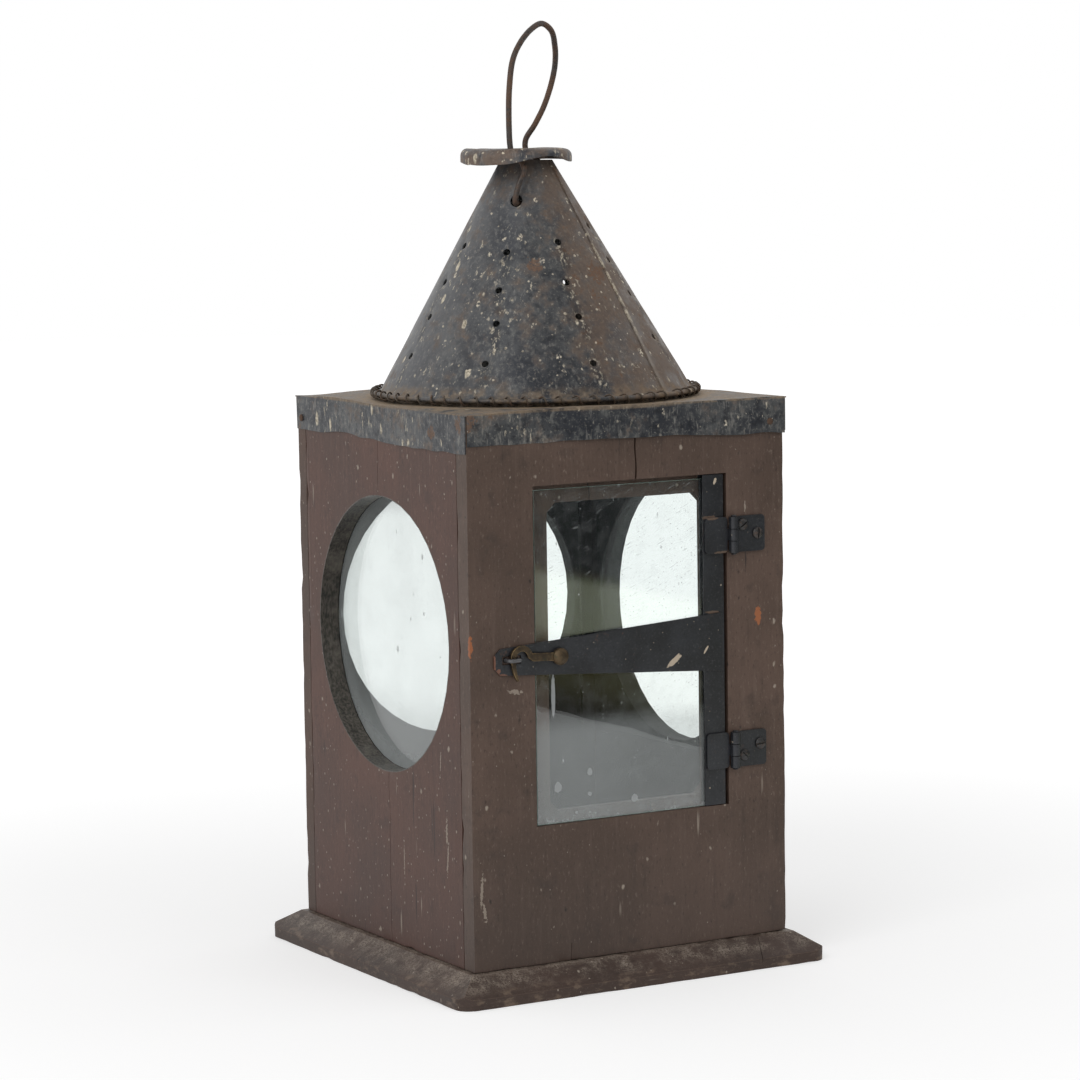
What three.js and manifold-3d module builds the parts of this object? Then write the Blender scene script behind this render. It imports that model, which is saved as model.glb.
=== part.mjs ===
// Stable lantern: a painted pine box with a glazed door and three round windows, a tin cap laced
// to a pierced tin chimney, a tin smoke cap and a heavy wire bail.
// Millimetres, +Z up. The origin is the middle of the base board's underside, the door faces -Y.

import * as THREE from 'three';
import { mergeVertices } from 'three/addons/utils/BufferGeometryUtils.js';
import Module from 'manifold-3d';

const wasm = await Module();
wasm.setup();

const { PI, abs, cos, sin, sqrt, asin, atan2, exp, hypot, min, max } = Math;
const radians = THREE.MathUtils.degToRad;

// Gap left between pieces that touch, and between a fixed pin or shank and its hole.
const seat = 0.3;

// Base board
const baseWidth = 223;
const baseThickness = 14.8;
const baseEdgeHeight = 5.5;
const baseCornerRadius = 9;
const baseFlatMargin = 3;

// Case of five boards
const caseWidth = 190;
const caseDepth = 190;
const boardHeight = 284.6;
const frontThickness = 11;
const sideThickness = 11;
const backThickness = 9;

// Round windows and their panes, inside the left, right and back boards
const windowDiameter = 145.6;
const windowRise = 164.4;
const windowSides = 40;
const paneThickness = 3;
const paneLap = 2.2;
const bradRadius = 0.7;
const bradDepth = 3.5;
const bradLip = 4.5;
const bradSpread = 100;

// Door opening in the front board: the outer opening, and the lip that the glass closes against
const openingWidth = 116.7;
const openingHeight = 175.3;
const openingShift = 1.35;
const openingRise = 71.9;
const lipLeft = 10.5;
const lipRight = 12.2;
const lipTop = 9.5;
const lipBottom = 6.2;
const lipChamfer = 5;

// Door: a bare pane with a folded tin stile on its hinge side and a tin hasp across it
const glassThickness = 3;
const glassSideGap = 0.8;
const glassTopGap = 2;
const stileWidth = 12.6;
const stileSheet = 0.8;
const stileHingeGap = 2.1;
const haspSheet = 0.8;
const haspRise = 87;
const haspStileHeight = 31;
const haspShoulderHeight = 29.4;
const haspTipHeight = 13.6;
const haspReach = 24.5;
const haspTipChamfer = 3.6;

// Butt hinges
const hingeHeight = 19;
const hingeSheet = 1.2;
const hingeCornerRadius = 2;
const knuckleRadius = 2.6;
const knuckleLength = 6;
const pinRadius = 1;
const pinHeadRadius = 1.7;
const pinHeadHeight = 0.7;
const hingeSideGap = 2.5;
const hingeDoorReach = 16.6;
const hingeCaseReach = 20.2;
const upperHingeRise = 143;
const lowerHingeRise = 29;
// Across from the pin and up from the middle of the leaf
const upperScrews = [[6.3, 5], [15.5, -0.1]];
const lowerScrews = [[6.3, -3.4], [16.3, 2]];
const screwHeadRadius = 3.1;
const screwHeadHeight = 1.5;
const screwSlot = 0.8;
const screwShankRadius = 1.5;
const screwLength = 8;

// Latch: a wire staple in the front board stands through a slot in the hasp, and a brass hook
// riveted to the hasp drops behind the staple's bar
const stapleWireRadius = 1.05;
const stapleWidth = 6.5;
const stapleReach = 5;
const stapleDepth = 8;
const stapleInset = 14.3;
const slotClearance = 1.1;
const hookThickness = 1.8;
const hookShankWidth = 4.2;
const hookArmWidth = 3;
const hookEyeRadius = 4.3;
const hookReach = 27.6;
const hookCrookRadius = 5;
const hookTipDrop = 25;
const rivetRadius = 1.4;
const rivetHeadRadius = 4.6;
const rivetHeadHeight = 2.4;
const rivetTailRadius = 2.8;
const rivetTailThickness = 0.7;

// Cap sheet with a turned-down skirt on each side and a collar inside the chimney's foot
const capSheet = 0.7;
// Skirt depths at the left and right end of the front, right, back and left side, seen from outside
const skirtDepths = [[15, 17.6], [16.4, 17.2], [16, 17.4], [17.6, 19]];
const skirtSlit = 1.1;
const collarHeight = 2.4;

// Chimney cone, with a small flange at its foot that ends in the hem bead, and the lacing
const hemRadius = 86;
const flangeWidth = 3.7;
const flangeSlope = 22.5;
const chimneyHeight = 122.3;
const chimneyTopRadius = 13.8;
const chimneySheet = 0.7;
const chimneyLeanX = -2.9;
const chimneyLeanY = 1.7;
const chimneySides = 44;
const seamAngle = -64;
const seamSlant = 4;
const seamEase = 45;
const beadRadius = 1.2;
const lacingRadius = 2.4;
const lacingWireRadius = 0.45;
const lacingTurns = 54;
const lacingSteps = 8;
const lacingSides = 5;
const lacingSlack = 0.55;
const lacingSpan = 356;

// Vents, punched by eye in columns: the angle of each and its height above the hem. The same
// holes come again on the far side.
const ventRadius = 1.95;
const ventSides = 6;
const vents = [
  [177, 78.2], [172.3, 59.4], [174.6, 41.3], [173.9, 21.1],
  [-137.3, 75.3], [-139.1, 55.9], [-137.9, 39], [-140.3, 18.8],
  [-95.8, 80.1], [-97.7, 59.4], [-95.7, 41.9], [-94.8, 18.3],
  [-48.8, 87.6], [-47.7, 69.6], [-44.7, 51.7], [-47.5, 28.8],
];

// Bail: heavy wire whose ends hook into two opposite holes, on a line just beside the cone's axis
const bailWireRadius = 1.6;
const bailShiftX = -0.8;
const bailShiftY = 0.5;
const bailRise = 101.3;
const bailAngle = -130.9;
const bailHoleRadius = 3.25;
const bailStandOff = 3.4;
const bailEnd = 8;

// Smoke cap: an upturned shallow pan on the bail's legs
const smokeCapRadius = 29.7;
const smokeCapSheet = 0.8;
const smokeCapRim = 7.2;
const smokeCapShoulder = 2.6;
const smokeCapGap = 5.3;
const smokeCapSides = 32;
const smokeCapHoleRadius = 2.7;
const smokeCapSlot = 2.6;
const smokeCapShift = -0.8;
const bailLegSpan = 40;
const bailLegShift = -4.1;
const bailLoopHeight = 65.6;

// Candle holder inside
const cupRadius = 12.3;
const cupHeight = 30;
const cupSheet = 0.8;
const panRadius = 36;
const panRimHeight = 4;
const panSheet = 0.8;
const panNailCircle = 24;

// Nails
const nailRadius = 0.9;
const nailHeadRadius = 2;
const nailHeadHeight = 0.9;
const caseNailRises = [38, 248];
const caseNailLength = 20;
const baseNailShift = 52;
const baseNailLength = 32;
const capNailInset = 8.7;
const capNailSideInset = 6.5;
const capNailDrop = 11.8;
const capNailLength = 5;

// Levels and faces that follow from the sizes
const boardBottom = baseThickness + seat;
const boardTop = boardBottom + boardHeight;
const capUnder = boardTop + seat;
const capTop = capUnder + capSheet;
const right = caseWidth / 2;
const back = caseDepth / 2;
const front = -back;
const lacingReach = lacingRadius + lacingWireRadius;
const hemHeight = capTop + seat + lacingReach;
const windowHeight = boardBottom + windowRise;
const paneWidth = windowDiameter + 2 * paneLap;

const openingLeft = openingShift - openingWidth / 2;
const openingRight = openingShift + openingWidth / 2;
const openingBottom = boardBottom + openingRise;
const openingTop = openingBottom + openingHeight;
const rebateDepth = 2 * stileSheet + glassThickness + 3 * seat;

// Depths of the door's layers behind the face of the front board
const stileFront = front;
const glassFront = stileFront + stileSheet + seat;
const glassBack = glassFront + glassThickness;
const stileBack = glassBack + seat + stileSheet;
const haspBack = front - seat;
const haspFront = haspBack - haspSheet;
const stileRight = openingRight - stileHingeGap;
const stileLeft = stileRight - stileWidth;
const hingeX = openingRight + hingeSideGap;
const hingeY = front - seat - knuckleRadius;
const staple = { x: openingLeft - stapleInset, z: openingBottom + haspRise + 0.7 };
const hookPivot = { x: staple.x + hookReach, z: staple.z - 0.2 };
const hookBack = haspFront - seat;
const hookFront = hookBack - hookThickness;

const group = new THREE.Group();

// Each piece gets its own node and its own material.
function addPiece(name, geometry, finish, parent = group) {
  const material = new THREE.MeshStandardMaterial(finish);
  const mesh = new THREE.Mesh(geometry, material);
  mesh.name = name;
  parent.add(mesh);
}

// Like pieces are numbered.
function addPieces(name, geometries, finish) {
  geometries.forEach((geometry, i) => addPiece(`${name}_${i + 1}`, geometry, finish));
}

const paintedPine = { color: 0x5f5049, roughness: 0.72, metalness: 0 };
const blackTin = { color: 0x34363a, roughness: 0.55, metalness: 0.35 };
const rustyIron = { color: 0x5a4b41, roughness: 0.7, metalness: 0.5 };
const greyIron = { color: 0x6b6b6c, roughness: 0.5, metalness: 0.7 };
const tarnishedBrass = { color: 0x6a583c, roughness: 0.5, metalness: 0.8 };
const oldGlass = { color: 0xa9c0b8, roughness: 0.08, metalness: 0, transparent: true, opacity: 0.35 };
const dullTin = { color: 0x77756f, roughness: 0.5, metalness: 0.7 };

// Solids for cutting and joining
function solid(geometry) {
  const bare = geometry.clone();
  bare.deleteAttribute('normal');
  bare.deleteAttribute('uv');
  const merged = mergeVertices(bare, 1e-4);
  return new wasm.Manifold(new wasm.Mesh({
    numProp: 3,
    vertProperties: new Float32Array(merged.attributes.position.array),
    triVerts: new Uint32Array(merged.index.array),
  }));
}

function geometryOf(shape) {
  const mesh = shape.getMesh();
  const geometry = new THREE.BufferGeometry();
  geometry.setAttribute('position', new THREE.BufferAttribute(new Float32Array(mesh.vertProperties), 3));
  geometry.setIndex(new THREE.BufferAttribute(new Uint32Array(mesh.triVerts), 1));
  geometry.computeVertexNormals();
  return geometry;
}

function whole(geometries) {
  return geometries.map(solid).reduce((sum, next) => sum.add(next));
}

function cut(geometry, tools) {
  return geometryOf(solid(geometry).subtract(whole(tools)));
}

function join(geometries) {
  return geometryOf(whole(geometries));
}

function common(first, second) {
  return geometryOf(solid(first).intersect(solid(second)));
}

// A block between two opposite corners
function block(low, high) {
  const size = high.map((value, i) => value - low[i]);
  const geometry = new THREE.BoxGeometry(...size);
  geometry.translate(...low.map((value, i) => value + size[i] / 2));
  return geometry;
}

// An outline in x and y, extruded upwards
function slab(shape, bottom, height, curveSegments = 4) {
  const geometry = new THREE.ExtrudeGeometry(shape, { depth: height, bevelEnabled: false, curveSegments });
  geometry.translate(0, 0, bottom);
  return geometry;
}

// An outline in x and z, extruded from its rear face towards the front
function standing(shape, rear, thickness, curveSegments = 5) {
  const options = { depth: thickness, bevelEnabled: false, curveSegments };
  const geometry = new THREE.ExtrudeGeometry(shape, options);
  geometry.rotateX(PI / 2);
  geometry.translate(0, rear, 0);
  return geometry;
}

function outline(points) {
  return new THREE.Shape(points.map(([x, y]) => new THREE.Vector2(x, y)));
}

function roundedOutline(left, low, width, height, radius) {
  const shape = new THREE.Shape();
  shape.moveTo(left + radius, low);
  shape.lineTo(left + width - radius, low);
  shape.absarc(left + width - radius, low + radius, radius, -PI / 2, 0);
  shape.lineTo(left + width, low + height - radius);
  shape.absarc(left + width - radius, low + height - radius, radius, 0, PI / 2);
  shape.lineTo(left + radius, low + height);
  shape.absarc(left + radius, low + height - radius, radius, PI / 2, PI);
  shape.lineTo(left, low + radius);
  shape.absarc(left + radius, low + radius, radius, PI, 1.5 * PI);
  return shape;
}

// A round bar from one point to another
function rod(from, to, radius, sides = 8) {
  const start = new THREE.Vector3(...from);
  const run = new THREE.Vector3(...to).sub(start);
  const geometry = new THREE.CylinderGeometry(radius, radius, run.length(), sides);
  const upright = new THREE.Vector3(0, 1, 0);
  geometry.applyQuaternion(new THREE.Quaternion().setFromUnitVectors(upright, run.clone().normalize()));
  geometry.translate(...start.addScaledVector(run, 0.5).toArray());
  return geometry;
}

// A turned shape: points of radius and height along an axis that starts at a point
function turned(profile, sides, from = [0, 0, 0], direction = [0, 0, 1]) {
  const points = profile.map(([r, h]) => new THREE.Vector2(r, h));
  if (THREE.ShapeUtils.area(points) < 0) points.reverse();
  const geometry = new THREE.LatheGeometry(points, sides);
  const axis = new THREE.Vector3(...direction).normalize();
  geometry.applyQuaternion(new THREE.Quaternion().setFromUnitVectors(new THREE.Vector3(0, 1, 0), axis));
  geometry.translate(...from);
  return geometryOf(solid(geometry));
}

// A skin over rings of points. Every ring is closed, and the row of rings is closed or capped.
function skin(rings, closed) {
  const count = rings[0].length;
  const positions = rings.flat().flatMap((point) => point.toArray());
  const index = [];
  const last = closed ? rings.length : rings.length - 1;
  for (let i = 0; i < last; i += 1) {
    const next = (i + 1) % rings.length;
    for (let j = 0; j < count; j += 1) {
      const k = (j + 1) % count;
      const a = i * count + j;
      const b = i * count + k;
      const c = next * count + k;
      const d = next * count + j;
      index.push(a, b, c, a, c, d);
    }
  }
  if (!closed) {
    const end = (rings.length - 1) * count;
    for (let j = 1; j < count - 1; j += 1) {
      index.push(0, j + 1, j);
      index.push(end, end + j, end + j + 1);
    }
  }
  const geometry = new THREE.BufferGeometry();
  geometry.setAttribute('position', new THREE.Float32BufferAttribute(positions, 3));
  geometry.setIndex(index);
  geometry.computeVertexNormals();
  return geometry;
}

// A wire along a curve
function wire(curve, radius, steps, sides) {
  const section = Array.from({ length: sides }, (_, i) => [
    radius * cos(2 * PI * i / sides), radius * sin(2 * PI * i / sides),
  ]);
  return new THREE.ExtrudeGeometry(outline(section), { steps, extrudePath: curve, bevelEnabled: false });
}

// A nail with a domed head, from under its head along a direction
function nail(from, direction, length, sides = 6) {
  const profile = [
    [0, -nailHeadHeight], [nailHeadRadius, -nailHeadHeight * 0.4], [nailHeadRadius, 0],
    [nailRadius, 0], [nailRadius, length], [0, length + nailRadius],
  ];
  return turned(profile, sides, from, direction);
}

// The room that a nail needs, with its head let in where it is driven flush
function nailRoom(from, direction, length, flush = false) {
  const start = new THREE.Vector3(...from);
  const along = new THREE.Vector3(...direction).normalize();
  const tip = start.clone().addScaledVector(along, length + nailRadius + seat);
  const bore = rod(start.clone().addScaledVector(along, -nailHeadHeight - seat).toArray(), tip.toArray(),
    nailRadius + seat, 6);
  if (!flush) return [bore];
  const mouth = start.clone().addScaledVector(along, -nailHeadHeight - 1);
  const floor = start.clone().addScaledVector(along, seat);
  return [bore, rod(mouth.toArray(), floor.toArray(), nailHeadRadius + seat, 8)];
}

// Nails: where each goes, which way it is driven, and how long it is
const caseNails = [];
for (const side of [-1, 1]) {
  for (const rise of caseNailRises) {
    const x = side * (right - sideThickness / 2);
    const z = boardBottom + rise;
    caseNails.push({ from: [x, front + nailHeadHeight, z], direction: [0, 1, 0], length: caseNailLength });
    caseNails.push({ from: [x, back - nailHeadHeight, z], direction: [0, -1, 0], length: caseNailLength });
  }
}

const baseNails = [
  [-baseNailShift, front + frontThickness / 2], [right - sideThickness / 2, -baseNailShift],
  [baseNailShift, back - backThickness / 2], [-right + sideThickness / 2, baseNailShift],
].map(([x, y]) => ({
  from: [x, y, nailHeadHeight + seat], direction: [0, 0, 1], length: baseNailLength,
}));

const skirtOut = seat + capSheet;
const skirtFace = right + skirtOut + seat;
const capNailHeight = capUnder - capNailDrop;
const capNails = [
  { from: [right - capNailInset, front - skirtOut - seat, capNailHeight], direction: [0, 1, 0] },
  { from: [-skirtFace, back - capNailSideInset, capNailHeight], direction: [1, 0, 0] },
  { from: [skirtFace, back - capNailSideInset, capNailHeight], direction: [-1, 0, 0] },
  { from: [right - capNailInset, back + skirtOut + seat, capNailHeight], direction: [0, -1, 0] },
].map((place) => ({ ...place, length: capNailLength }));

const roomFor = (nails, flush) => nails.flatMap(({ from, direction, length }) => (
  nailRoom(from, direction, length, flush)
));
const nailsOf = (nails) => nails.map(({ from, direction, length }) => nail(from, direction, length));

// Base board: a rounded square slab whose upper face falls away in a wide bevel with mitred corners
function makeBaseBoard() {
  const half = baseWidth / 2;
  const slabShape = roundedOutline(-half, -half, baseWidth, baseWidth, baseCornerRadius);
  const bevelTop = max(caseWidth, caseDepth) / 2 + baseFlatMargin;
  const bevelSlope = (half - bevelTop) / (baseThickness - baseEdgeHeight);
  const bevelBottom = bevelTop + bevelSlope * baseThickness;
  const bevel = new THREE.CylinderGeometry(bevelTop * sqrt(2), bevelBottom * sqrt(2), baseThickness, 4);
  bevel.rotateY(PI / 4);
  bevel.rotateX(PI / 2);
  bevel.translate(0, 0, baseThickness / 2);
  const board = common(slab(slabShape, 0, baseThickness), bevel);
  return cut(board, [...roomFor(baseNails, true), ...roomFor(panNails, false)]);
}

// Candle pan and cup stand in the middle of the base board, under the round windows' sight lines
const panFloor = baseThickness + seat + panSheet;
const panNails = [-1, 1].map((side) => ({
  from: [side * panNailCircle, 0, panFloor + seat], direction: [0, 0, -1], length: baseThickness - 4,
}));

// Front board: the opening is rebated from the face, and leaves a lip with chamfered corners
function makeFrontBoard() {
  const board = block([-right, front, boardBottom], [right, front + frontThickness, boardTop]);
  const rebate = block(
    [openingLeft, front - 1, openingBottom],
    [openingRight, front + rebateDepth, openingTop],
  );
  const low = openingBottom + lipBottom;
  const high = openingTop - lipTop;
  const left = openingLeft + lipLeft;
  const far = openingRight - lipRight;
  const through = outline([
    [left + lipChamfer, low], [far - lipChamfer, low], [far, low + lipChamfer],
    [far, high - lipChamfer], [far - lipChamfer, high], [left + lipChamfer, high],
    [left, high - lipChamfer], [left, low + lipChamfer],
  ]);
  const tools = [
    rebate,
    standing(through, front + frontThickness + 1, frontThickness + 2),
    ...stapleLegs(stapleWireRadius + seat, seat),
    ...hingeScrewPlaces.map(([x, z]) => (
      rod([x, front - 1, z], [x, screwTip + seat, z], screwShankRadius + seat)
    )),
    ...roomFor(caseNails, true),
    ...roomFor(baseNails, false),
    ...roomFor(capNails, false),
  ];
  return cut(board, tools);
}

// A board between the front and back boards, with its round window
function makeSideBoard(side) {
  const outer = side * right;
  const inner = side * (right - sideThickness);
  const board = block(
    [min(outer, inner), front + frontThickness + seat, boardBottom],
    [max(outer, inner), back - backThickness - seat, boardTop],
  );
  const window = rod([outer + side, 0, windowHeight], [inner - side, 0, windowHeight],
    windowDiameter / 2, windowSides);
  const room = [...roomFor(caseNails, false), ...roomFor(baseNails, false), ...roomFor(capNails, false)];
  return cut(board, [window, ...room, ...bradBores(side)]);
}

function makeBackBoard() {
  const board = block([-right, back - backThickness, boardBottom], [right, back, boardTop]);
  const window = rod([0, back + 1, windowHeight], [0, back - backThickness - 1, windowHeight],
    windowDiameter / 2, windowSides);
  const room = [...roomFor(caseNails, true), ...roomFor(baseNails, false), ...roomFor(capNails, false)];
  return cut(board, [window, ...room, ...bradBores(0)]);
}

// The inner face that a pane lies on: side is -1 for left, 1 for right and 0 for back.
// Places on it are given by distance across the board, height and depth into the case.
function onInnerFace(side, across, height, depth) {
  if (side === 0) return [across, back - backThickness - depth, height];
  return [side * (right - sideThickness - depth), across, height];
}

function makePane(side) {
  const near = onInnerFace(side, -paneWidth / 2, windowHeight - paneWidth / 2, seat);
  const far = onInnerFace(side, paneWidth / 2, windowHeight + paneWidth / 2, seat + paneThickness);
  const low = near.map((value, i) => min(value, far[i]));
  const high = near.map((value, i) => max(value, far[i]));
  return block(low, high);
}

// Brads are driven above and below a pane and bent over its edge.
const bradPlaces = [-1, 1].map((edge) => (
  [edge, edge * bradSpread / 2, windowHeight + edge * (paneWidth / 2 + bradRadius + 2 * seat)]
));

function makeBrads(side) {
  return bradPlaces.map(([edge, across, height]) => {
    const bend = paneThickness + 2 * seat + bradRadius;
    const path = [[height, -bradDepth], [height, bend], [height - edge * bradLip, bend]];
    return bentWire(path.map(([up, depth]) => onInnerFace(side, across, up, depth)), bradRadius);
  });
}

function bradBores(side) {
  return bradPlaces.map(([, across, height]) => {
    const deep = onInnerFace(side, across, height, -bradDepth - seat);
    return rod(deep, onInnerFace(side, across, height, 1), bradRadius + seat, 6);
  });
}

// A wire with one mitred bend, six-sided
function bentWire(points, radius) {
  const path = points.map((point) => new THREE.Vector3(...point));
  const runs = path.slice(1).map((point, i) => point.clone().sub(path[i]).normalize());
  const across = runs[0].clone().cross(runs[runs.length - 1]).normalize();
  const rings = path.map((point, i) => {
    const before = runs[max(i - 1, 0)];
    const after = runs[min(i, runs.length - 1)];
    const along = before.clone().add(after).normalize();
    const side = along.clone().cross(across).normalize();
    const mitre = 1 / max(0.5, along.dot(before));
    return ringAround(point, across, side, radius, radius * mitre, 6);
  });
  return skin(rings, false);
}

function ringAround(centre, first, second, firstRadius, secondRadius, sides) {
  return Array.from({ length: sides }, (_, i) => {
    const angle = 2 * PI * i / sides;
    return centre.clone()
      .addScaledVector(first, firstRadius * cos(angle))
      .addScaledVector(second, secondRadius * sin(angle));
  });
}

// Hinge screws in the case leaves
const hingeScrewPlaces = [
  ...upperScrews.map(([across, up]) => [hingeX + across, boardBottom + openingRise + upperHingeRise + up]),
  ...lowerScrews.map(([across, up]) => [hingeX + across, boardBottom + openingRise + lowerHingeRise + up]),
];
const leafFront = front - seat - hingeSheet;
const screwTip = leafFront - seat + screwLength;

function makeHingeScrews() {
  return hingeScrewPlaces.map(([x, z], i) => {
    const under = leafFront - seat;
    const profile = [
      [0, -screwHeadHeight], [screwHeadRadius * 0.45, -screwHeadHeight * 0.93],
      [screwHeadRadius * 0.8, -screwHeadHeight * 0.6], [screwHeadRadius, 0], [screwShankRadius, 0],
      [screwShankRadius, screwLength - 2], [0, screwLength],
    ];
    const screw = turned(profile, 10, [x, under, z], [0, 1, 0]);
    const slot = block(
      [-screwHeadRadius - 1, -screwHeadHeight - 1, -screwSlot / 2],
      [screwHeadRadius + 1, -screwHeadHeight * 0.35, screwSlot / 2],
    );
    slot.rotateY(radians(35 + 50 * i));
    slot.translate(x, under, z);
    return cut(screw, [slot]);
  });
}

// One leaf of a butt hinge: a flat plate with its knuckles rolled on the pin's line.
// The case leaf has the two outer knuckles and the door leaf the middle one.
function makeHingeLeaf(middle, direction, reach, screws) {
  const low = middle - hingeHeight / 2;
  const rear = front - seat;
  const inner = hingeX + direction * (knuckleRadius + seat + 0.1);
  const outer = hingeX + direction * reach;
  const width = abs(outer - inner);
  const plateShape = roundedOutline(min(inner, outer), low, width, hingeHeight, hingeCornerRadius);
  const half = knuckleLength / 2;
  const spans = direction < 0
    ? [[middle - half, middle + half]]
    : [[low, middle - half - seat], [middle + half + seat, low + hingeHeight]];
  const bodies = [standing(plateShape, rear, hingeSheet, 2)];
  for (const [bottom, top] of spans) {
    const reachIn = inner + direction * hingeCornerRadius;
    const root = [min(hingeX, reachIn), rear - hingeSheet, bottom];
    bodies.push(block(root, [max(hingeX, reachIn), rear, top]));
    bodies.push(rod([hingeX, hingeY, bottom], [hingeX, hingeY, top], knuckleRadius, 12));
  }
  const above = [hingeX, hingeY, low + hingeHeight + 1];
  const bore = rod([hingeX, hingeY, low - 1], above, pinRadius + seat, 10);
  const holes = screws.map(([across, up]) => {
    const x = hingeX + across;
    const z = middle + up;
    return rod([x, rear + 1, z], [x, rear - hingeSheet - 1, z], screwShankRadius + seat, 8);
  });
  return cut(join(bodies), [bore, ...holes]);
}

function makeHingePin(middle) {
  const end = hingeHeight / 2 + seat;
  const profile = [
    [0, -end - pinHeadHeight], [pinHeadRadius * 0.7, -end - pinHeadHeight * 0.8], [pinHeadRadius, -end],
    [pinRadius, -end], [pinRadius, end], [pinHeadRadius, end],
    [pinHeadRadius * 0.7, end + pinHeadHeight * 0.8], [0, end + pinHeadHeight],
  ];
  return turned(profile, 10, [hingeX, hingeY, middle]);
}

// Door glass and the folded stile that grips its edge
const glassRight = stileRight - stileSheet - seat;

function makeDoorGlass() {
  return block(
    [openingLeft + glassSideGap, glassFront, openingBottom + seat],
    [glassRight, glassBack, openingTop - glassTopGap],
  );
}

function makeDoorStile() {
  const fold = outline([
    [stileLeft, stileFront], [stileRight, stileFront], [stileRight, stileBack], [stileLeft, stileBack],
    [stileLeft, stileBack - stileSheet], [stileRight - stileSheet, stileBack - stileSheet],
    [stileRight - stileSheet, stileFront + stileSheet], [stileLeft, stileFront + stileSheet],
  ]);
  return slab(fold, openingBottom + seat, openingHeight - 2 * seat);
}

// Hasp: a tapered strap from the stile, past the glass, to the staple
function makeDoorHasp() {
  const middle = openingBottom + haspRise;
  const tip = openingLeft - haspReach;
  const root = stileRight - stileHingeGap;
  const bar = haspTipHeight / 2;
  const shape = outline([
    [tip, middle - bar + haspTipChamfer], [tip + haspTipChamfer, middle - bar],
    [stileLeft, middle - haspShoulderHeight / 2], [root, middle - haspStileHeight / 2],
    [root, middle + haspStileHeight / 2], [stileLeft, middle + haspShoulderHeight / 2],
    [tip + haspTipChamfer, middle + bar], [tip, middle + bar - haspTipChamfer],
  ]);
  const halfSlot = stapleWidth / 2 + stapleWireRadius + slotClearance;
  const halfGap = stapleWireRadius + slotClearance;
  const slot = block(
    [staple.x - halfSlot, haspFront - 1, staple.z - halfGap],
    [staple.x + halfSlot, haspBack + 1, staple.z + halfGap],
  );
  const pivotHole = rod([hookPivot.x, haspFront - 1, hookPivot.z], [hookPivot.x, haspBack + 1, hookPivot.z],
    rivetRadius + seat, 10);
  return cut(standing(shape, haspBack, haspSheet), [slot, pivotHole]);
}

// Staple: two legs in the board and a bar across in front of the hasp
const barY = haspFront - stapleReach + stapleWireRadius;

function stapleLegs(radius, extra) {
  return [-1, 1].map((side) => {
    const x = staple.x + side * stapleWidth / 2;
    return rod([x, barY, staple.z], [x, front + stapleDepth + extra, staple.z], radius, 8);
  });
}

function makeStaple() {
  const half = stapleWidth / 2;
  const corner = stapleWireRadius * 1.3;
  const deep = front + stapleDepth;
  const at = (x, y) => new THREE.Vector3(staple.x + x, y, staple.z);
  const leg = (side) => at(side * half, barY + corner);
  const bend = (side) => at(side * (half - corner), barY);
  const path = new THREE.CurvePath();
  path.add(new THREE.LineCurve3(at(-half, deep), leg(-1)));
  path.add(new THREE.QuadraticBezierCurve3(leg(-1), at(-half, barY), bend(-1)));
  path.add(new THREE.LineCurve3(bend(-1), bend(1)));
  path.add(new THREE.QuadraticBezierCurve3(bend(1), at(half, barY), leg(1)));
  path.add(new THREE.LineCurve3(leg(1), at(half, deep)));
  return wire(path, stapleWireRadius, 22, 8);
}

// Hook: an eye on the rivet, a straight shank, and a crook whose point lies on a circle about the
// rivet, so that it comes up behind the staple's bar as the hook is lifted
function makeLatchHook() {
  const crookX = -hookReach + hookCrookRadius;
  const outer = hookCrookRadius + hookArmWidth / 2;
  const inner = hookCrookRadius - hookArmWidth / 2;
  const shank = outline([
    [0, -hookShankWidth / 2], [0, hookShankWidth / 2], [crookX + outer + 1, 2.9],
    [crookX + hookCrookRadius, 2.6], [crookX + inner, 0.9], [crookX + outer, -1.2],
  ]);
  const crook = new THREE.Shape();
  crook.absarc(crookX, 0.9, outer, 0, PI, false);
  const steps = 5;
  for (let i = 1; i <= steps; i += 1) {
    const angle = PI + radians(hookTipDrop) * i / steps;
    const width = hookArmWidth / 2 * (1 - 0.6 * i / steps);
    crook.lineTo((hookReach + width) * cos(angle), 0.9 + (hookReach + width) * sin(angle));
  }
  for (let i = steps; i >= 1; i -= 1) {
    const angle = PI + radians(hookTipDrop) * i / steps;
    const width = hookArmWidth / 2 * (1 - 0.6 * i / steps);
    crook.lineTo((hookReach - width) * cos(angle), 0.9 + (hookReach - width) * sin(angle));
  }
  crook.absarc(crookX, 0.9, inner, PI, 0, true);
  const eye = rod([0, 0, 0], [0, -hookThickness, 0], hookEyeRadius, 20);
  const bore = rod([0, 1, 0], [0, -hookThickness - 1, 0], rivetRadius + seat, 12);
  const bodies = [standing(shank, 0, hookThickness), standing(crook, 0, hookThickness, 8), eye];
  const hook = cut(join(bodies), [bore]);
  hook.translate(hookPivot.x, hookBack, hookPivot.z);
  return hook;
}

function makeHookRivet() {
  const grip = hookThickness + haspSheet + 2 * seat;
  const profile = [
    [0, -rivetHeadHeight], [rivetHeadRadius * 0.45, -rivetHeadHeight * 0.92],
    [rivetHeadRadius * 0.8, -rivetHeadHeight * 0.6], [rivetHeadRadius, 0], [rivetRadius, 0],
    [rivetRadius, grip + seat], [rivetTailRadius, grip + seat],
    [rivetTailRadius, grip + seat + rivetTailThickness * 0.6], [0, grip + seat + rivetTailThickness],
  ];
  return turned(profile, 16, [hookPivot.x, hookFront - seat, hookPivot.z], [0, 1, 0]);
}

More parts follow.
